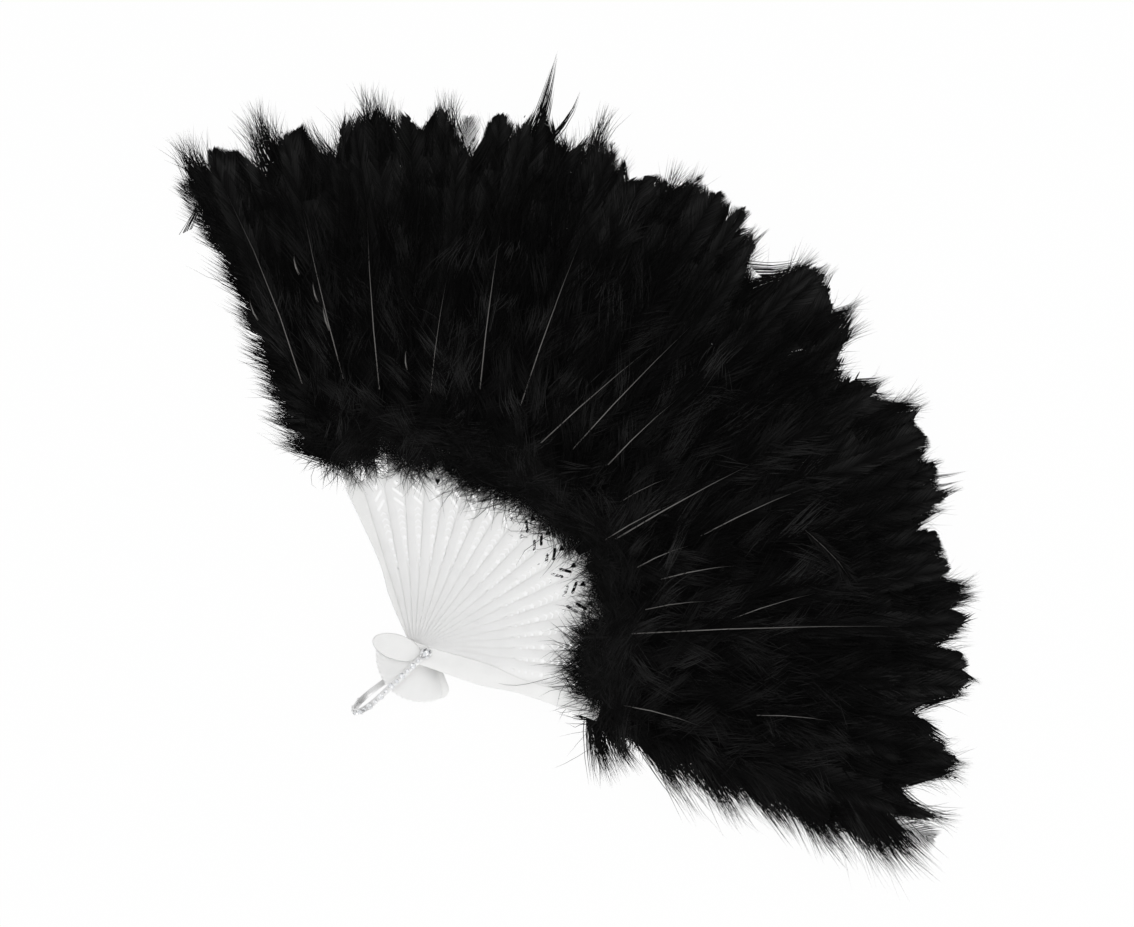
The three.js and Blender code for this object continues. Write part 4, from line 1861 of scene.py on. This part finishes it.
@dataclass
class Bail:
    """The bail: a band bent round the tails, an eye on each end, and stones in cups along its outside.

    It is built with its legs along -Y and then turned to its place. It leans, so that its rear leg lies
    behind its front leg.
    """

    silver: bpy.types.Material
    crystal: bpy.types.Material
    rest_turn: float = -4.0
    lean: float = 7.0
    width: float = 2.6
    thickness: float = 0.9
    rear_base: float = 1.4
    front_top: float = 27.1
    leg_start: float = 2.2
    leg_length: float = 26.6
    band_edge: float = 0.22
    eye_radius: float = 2.5
    eye_hole: float = 1.65
    eye_sides: int = 36
    eye_edge: float = 0.2
    edge_steps: int = 2
    bow_steps: int = 28
    stone_first: float = 4.6
    stone_pitch: float = 3.2
    stone_radius: float = 1.5
    stone_height: float = 0.8
    stone_sides: int = 8
    stone_seat: float = 0.3
    stone_share: float = 0.94
    table_share: float = 0.62
    small_stone: float = 0.72
    last_room: float = 2.0
    cup_sides: int = 12
    cup_foot: float = 0.92
    cup_lip: float = 1.06
    cup_depth: float = 0.55
    cup_rise: float = 0.15

    @property
    def bow_radius(self) -> float:
        """The bow's radius to the outside of the band."""
        return (self.front_top - self.rear_base) / 2

    def build(self) -> list[bpy.types.Object]:
        """Makes the band with its cups, and the stones.

        Returns:
            The new pieces.
        """
        band = self._band()
        for base in (self.rear_base, self.front_top - self.thickness):
            self._eye(band, base)
        stones = bmesh.new()
        for place, size in self._stone_places():
            self._cup(band, place, size)
            self._stone(stones, place, size)
        pieces = []
        for shape, name, material, slot in (
            (band, "bail_band", self.silver, "silver"),
            (stones, "bail_stones", self.crystal, "crystal"),
        ):
            self._settle(shape)
            piece = mesh_object(name, shape, material)
            if slot == "silver":
                shade_smooth(piece)
            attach(piece, "bail")
            pieces.append(piece)
        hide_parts("bail")
        return pieces

    def _band(self) -> bmesh.types.BMesh:
        """Draws the band's section along the front leg, round the bow and back along the rear leg.

        Returns:
            The band, in metres.
        """
        shape = bmesh.new()
        made = bmesh.ops.create_grid(shape, x_segments=1, y_segments=1, size=0.5 * MM)
        bmesh.ops.scale(shape, verts=made["verts"], vec=(self.width, self.thickness, 1.0))
        upright = Matrix.Rotation(math.pi / 2, 4, "X")
        middle = self.front_top - self.thickness / 2
        place = Matrix.Translation(Vector((0.0, -self.leg_start, middle)) * MM) @ upright
        bmesh.ops.transform(shape, matrix=place, verts=shape.verts)
        leg = (self.leg_length - self.leg_start) * MM
        end = self._draw(shape, shape.faces[:], (0.0, -leg, 0.0))
        centre = Vector((0.0, -self.leg_length, self.front_top - self.bow_radius)) * MM
        turned = bmesh.ops.spin(
            shape,
            geom=end,
            cent=centre,
            axis=(1.0, 0.0, 0.0),
            angle=math.pi,
            steps=self.bow_steps,
            use_merge=False,
            use_duplicate=False,
        )
        end = [g for g in turned["geom_last"] if isinstance(g, bmesh.types.BMFace)]
        self._draw(shape, end, (0.0, leg, 0.0))
        bmesh.ops.remove_doubles(shape, verts=shape.verts, dist=WELD)
        walls = [f for f in shape.faces if all(len(e.link_faces) > 2 for e in f.edges)]
        bmesh.ops.delete(shape, geom=walls, context="FACES_ONLY")
        bmesh.ops.recalc_face_normals(shape, faces=shape.faces)
        soften_edges(shape, self.band_edge, self.edge_steps)
        return shape

    @staticmethod
    def _draw(shape: bmesh.types.BMesh, faces: list, along: tuple[float, float, float]) -> list:
        """Draws faces out along a direction.

        Args:
            shape: the mesh, which is changed.
            faces: the faces.
            along: the way that they move, in metres.

        Returns:
            The moved faces.
        """
        grown = bmesh.ops.extrude_face_region(shape, geom=faces)
        verts = [g for g in grown["geom"] if isinstance(g, bmesh.types.BMVert)]
        bmesh.ops.translate(shape, verts=verts, vec=along)
        return [g for g in grown["geom"] if isinstance(g, bmesh.types.BMFace)]

    def _eye(self, shape: bmesh.types.BMesh, base: float) -> None:
        """Adds a flat ring round the rivet.

        Args:
            shape: the band, which is changed.
            base: the height of the ring's underside, in millimetres.
        """
        part = bmesh.new()
        for radius in (self.eye_radius, self.eye_hole):
            bmesh.ops.create_circle(part, cap_ends=False, segments=self.eye_sides, radius=radius * MM)
        bmesh.ops.bridge_loops(part, edges=part.edges[:])
        self._draw(part, part.faces[:], (0.0, 0.0, self.thickness * MM))
        bmesh.ops.recalc_face_normals(part, faces=part.faces)
        soften_edges(part, self.eye_edge, self.edge_steps)
        bmesh.ops.translate(part, verts=part.verts, vec=(0.0, 0.0, base * MM))
        append(shape, part)

    def _stone_places(self) -> list[tuple[Matrix, float]]:
        """Works out where each stone stands on the front leg and the bow, and its size.

        Returns:
            For each stone the matrix to its place, in metres, and its size as a share of the largest.
        """
        places = []
        bow = self.bow_radius
        end = self.leg_length + math.pi * bow - self.last_room
        for k, travel in enumerate(np.arange(self.stone_first, end, self.stone_pitch)):
            size = 1.0 if k % 2 else self.small_stone
            turn = max(0.0, (travel - self.leg_length) / bow)
            spot = Vector((0.0, -min(travel, self.leg_length), self.front_top - bow))
            spot += Vector((0.0, -math.sin(turn), math.cos(turn))) * bow
            places.append((Matrix.Translation(spot * MM) @ Matrix.Rotation(turn, 4, "X"), size))
        return places

    def _cup(self, shape: bmesh.types.BMesh, place: Matrix, size: float) -> None:
        """Adds the cup that holds one stone.

        Args:
            shape: the band, which is changed.
            place: the matrix to the stone's place.
            size: the stone's size as a share of the largest.
        """
        part = bmesh.new()
        radius = self.stone_radius * size * MM
        bmesh.ops.create_cone(
            part,
            cap_ends=True,
            segments=self.cup_sides,
            radius1=radius * self.cup_foot,
            radius2=radius * self.cup_lip,
            depth=self.cup_depth * MM,
        )
        rise = Matrix.Translation((0.0, 0.0, self.cup_rise * MM))
        bmesh.ops.transform(part, matrix=place @ rise, verts=part.verts)
        append(shape, part)

    def _stone(self, shape: bmesh.types.BMesh, place: Matrix, size: float) -> None:
        """Adds one cut stone: a table, twisted crown facets and a short girdle.

        Args:
            shape: the stones, which are changed.
            place: the matrix to the stone's place.
            size: the stone's size as a share of the largest.
        """
        radius = self.stone_radius * size
        part = cut_stone(
            self.stone_sides, radius * self.stone_share, radius * self.table_share, self.stone_height
        )
        rise = Matrix.Translation((0.0, 0.0, self.stone_seat * MM))
        bmesh.ops.transform(part, matrix=place @ rise, verts=part.verts)
        append(shape, part)

    def _settle(self, shape: bmesh.types.BMesh) -> None:
        """Leans the bail and turns it to its place.

        Args:
            shape: the mesh, which is changed.
        """
        height = (self.front_top - self.rear_base) * MM
        for vert in shape.verts:
            share = min(max((self.front_top * MM - vert.co.z) / height, 0.0), 1.0)
            vert.co.rotate(Matrix.Rotation(-math.radians(self.lean) * share, 3, "Z"))
        turn = Matrix.Rotation(math.radians(self.rest_turn), 3, "Z")
        bmesh.ops.rotate(shape, verts=shape.verts, cent=(0.0, 0.0, 0.0), matrix=turn)


def append(shape: bmesh.types.BMesh, part: bmesh.types.BMesh) -> None:
    """Adds one bmesh to another and frees the added one.

    Args:
        shape: the bmesh that grows.
        part: the bmesh that is added.
    """
    mesh = bpy.data.meshes.new("part")
    part.to_mesh(mesh)
    part.free()
    shape.from_mesh(mesh)
    bpy.data.meshes.remove(mesh)


# The share of a cut stone's height that is its girdle, and the share above which a point is on its table
GIRDLE_SHARE = 0.25
TABLE_SHARE = 0.9


def cut_stone(sides: int, radius: float, table: float, height: float) -> bmesh.types.BMesh:
    """Cuts a stone that stands on the origin: a low girdle, twisted crown facets and a flat table.

    Args:
        sides: how many sides the girdle has.
        radius: the girdle's radius, in millimetres.
        table: the table's radius, in millimetres.
        height: the stone's height, in millimetres.

    Returns:
        The stone, in metres.
    """
    part = bmesh.new()
    bmesh.ops.create_cone(
        part, cap_ends=True, segments=sides, radius1=radius * MM, radius2=radius * MM, depth=height * MM
    )
    bmesh.ops.translate(part, verts=part.verts, vec=(0.0, 0.0, height / 2 * MM))
    split(part, (0.0, 0.0, GIRDLE_SHARE * height * MM), (0.0, 0.0, 1.0))
    top = [v for v in part.verts if v.co.z > TABLE_SHARE * height * MM]
    share = table / radius
    bmesh.ops.scale(part, verts=top, vec=(share, share, 1.0))
    turn = Matrix.Rotation(math.pi / sides, 3, "Z")
    bmesh.ops.rotate(part, verts=top, cent=(0.0, 0.0, 0.0), matrix=turn)
    crown = [f for f in part.faces if len(f.verts) == 4 and any(v in top for v in f.verts)]
    bmesh.ops.triangulate(part, faces=crown)
    bmesh.ops.recalc_face_normals(part, faces=part.faces)
    return part


@dataclass
class RivetStone:
    """The bright stone that closes the rivet's front end, in its setting."""

    silver: bpy.types.Material
    crystal: bpy.types.Material
    along: float = 266.0
    stretch: float = 1.3
    radius: float = 2.05
    table: float = 1.1
    sides: int = 8
    setting_radius: float = 2.2
    setting_foot: float = 0.9
    setting_sides: int = 40
    setting_edge: float = 0.15
    setting_edge_steps: int = 2
    claws: int = 6
    claw_radius: float = 0.42
    claw_rise: float = 0.25
    claw_segments: tuple[int, int] = (10, 6)

    def build(self) -> list[bpy.types.Object]:
        """Makes the setting with its claws, and the stone.

        Returns:
            The new pieces.
        """
        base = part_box("rivet_setting")[0][2] / MM
        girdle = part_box("rivet_stone")[0][2] / MM
        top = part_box("rivet_stone")[1][2] / MM
        setting = self._setting(base, girdle)
        stone = cut_stone(self.sides, self.radius, self.table, top - girdle)
        bmesh.ops.translate(stone, verts=stone.verts, vec=(0.0, 0.0, girdle * MM))
        axis = Matrix.Rotation(math.radians(self.along), 3, "Z")
        pieces = []
        for shape, name, node, material in (
            (setting, "rivet_claw_setting", "rivet_setting", self.silver),
            (stone, "rivet_cut_stone", "rivet_stone", self.crystal),
        ):
            bmesh.ops.scale(shape, verts=shape.verts, vec=(self.stretch, 1.0, 1.0))
            bmesh.ops.rotate(shape, verts=shape.verts, cent=(0.0, 0.0, 0.0), matrix=axis)
            piece = mesh_object(name, shape, material)
            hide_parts(node)
            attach(piece, "rear_guard")
            pieces.append(piece)
        shade_smooth(pieces[0])
        return pieces

    def _setting(self, base: float, girdle: float) -> bmesh.types.BMesh:
        """Makes the setting, round, with a ring of claws on its top.

        Args:
            base: the height of its underside, in millimetres.
            girdle: the height of its top, where the stone's girdle stands, in millimetres.

        Returns:
            The setting, in metres.
        """
        setting = bmesh.new()
        bmesh.ops.create_cone(
            setting,
            cap_ends=True,
            segments=self.setting_sides,
            radius1=self.setting_radius * self.setting_foot * MM,
            radius2=self.setting_radius * MM,
            depth=(girdle - base) * MM,
        )
        soften_edges(setting, self.setting_edge, self.setting_edge_steps)
        bmesh.ops.translate(setting, verts=setting.verts, vec=(0.0, 0.0, (base + girdle) / 2 * MM))
        for k in range(self.claws):
            claw = bmesh.new()
            around, over = self.claw_segments
            radius = self.claw_radius * MM
            bmesh.ops.create_uvsphere(claw, u_segments=around, v_segments=over, radius=radius)
            turn = Matrix.Rotation(2 * math.pi * (k + 0.5) / self.claws, 4, "Z")
            reach = Matrix.Translation((self.radius * MM, 0.0, (girdle + self.claw_rise) * MM))
            bmesh.ops.transform(claw, matrix=turn @ reach, verts=claw.verts)
            append(setting, claw)
        return setting


def dress(node: bpy.types.Object, material: bpy.types.Material) -> None:
    """Gives a CAD node its finish."""
    node.data.materials.clear()
    node.data.materials.append(material)


def main() -> None:
    """Builds the fan round the frame."""
    logging.basicConfig(level=logging.INFO, format="%(message)s")
    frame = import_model()
    Studio().build(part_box("rivet_stone")[1][2] / MM)

    stick_plastic = MouldedPolypropylene("moulded_polypropylene_stick").material()
    guard_plastic = MouldedPolypropylene(
        "moulded_polypropylene_guard", light="#f3f3f2", dark="#efefee", roughness=0.24
    ).material()
    silver = SilverPlate("silver_plated_brass").material()
    crystal = FoiledCrystal("foiled_cut_crystal").material()
    barb = DyedBarb("dyed_feather_barb").material()
    horn = QuillHorn("dyed_quill_horn").material()

    nodes = frame["nodes"]
    staves = find_staves(frame)
    last = staves[-1].place
    pieces = []
    dress(nodes["pivot_rivet"], silver)
    for stave in staves:
        if stave.place in (0, last):
            pieces += Guard(stave, guard_plastic, has_oval=stave.place == last).build(nodes[stave.stick])
        else:
            pieces.append(Stick(stave, stick_plastic).build(nodes[stave.stick]))
    pieces += Bail(silver, crystal).build()
    pieces += RivetStone(silver, crystal).build()
    step = (staves[0].angle - staves[-1].angle) / last
    outline = FanOutline(math.degrees(step))
    for stave in staves:
        plume = Plume(stave, last, barb, horn, outline)
        feathers = plume.build()
        plume.flatten(feathers)
        pieces += feathers
    for piece in pieces:
        LOG.info("%s: %d faces", piece.name, len(piece.data.polygons))


if __name__ == "__main__":
    main()
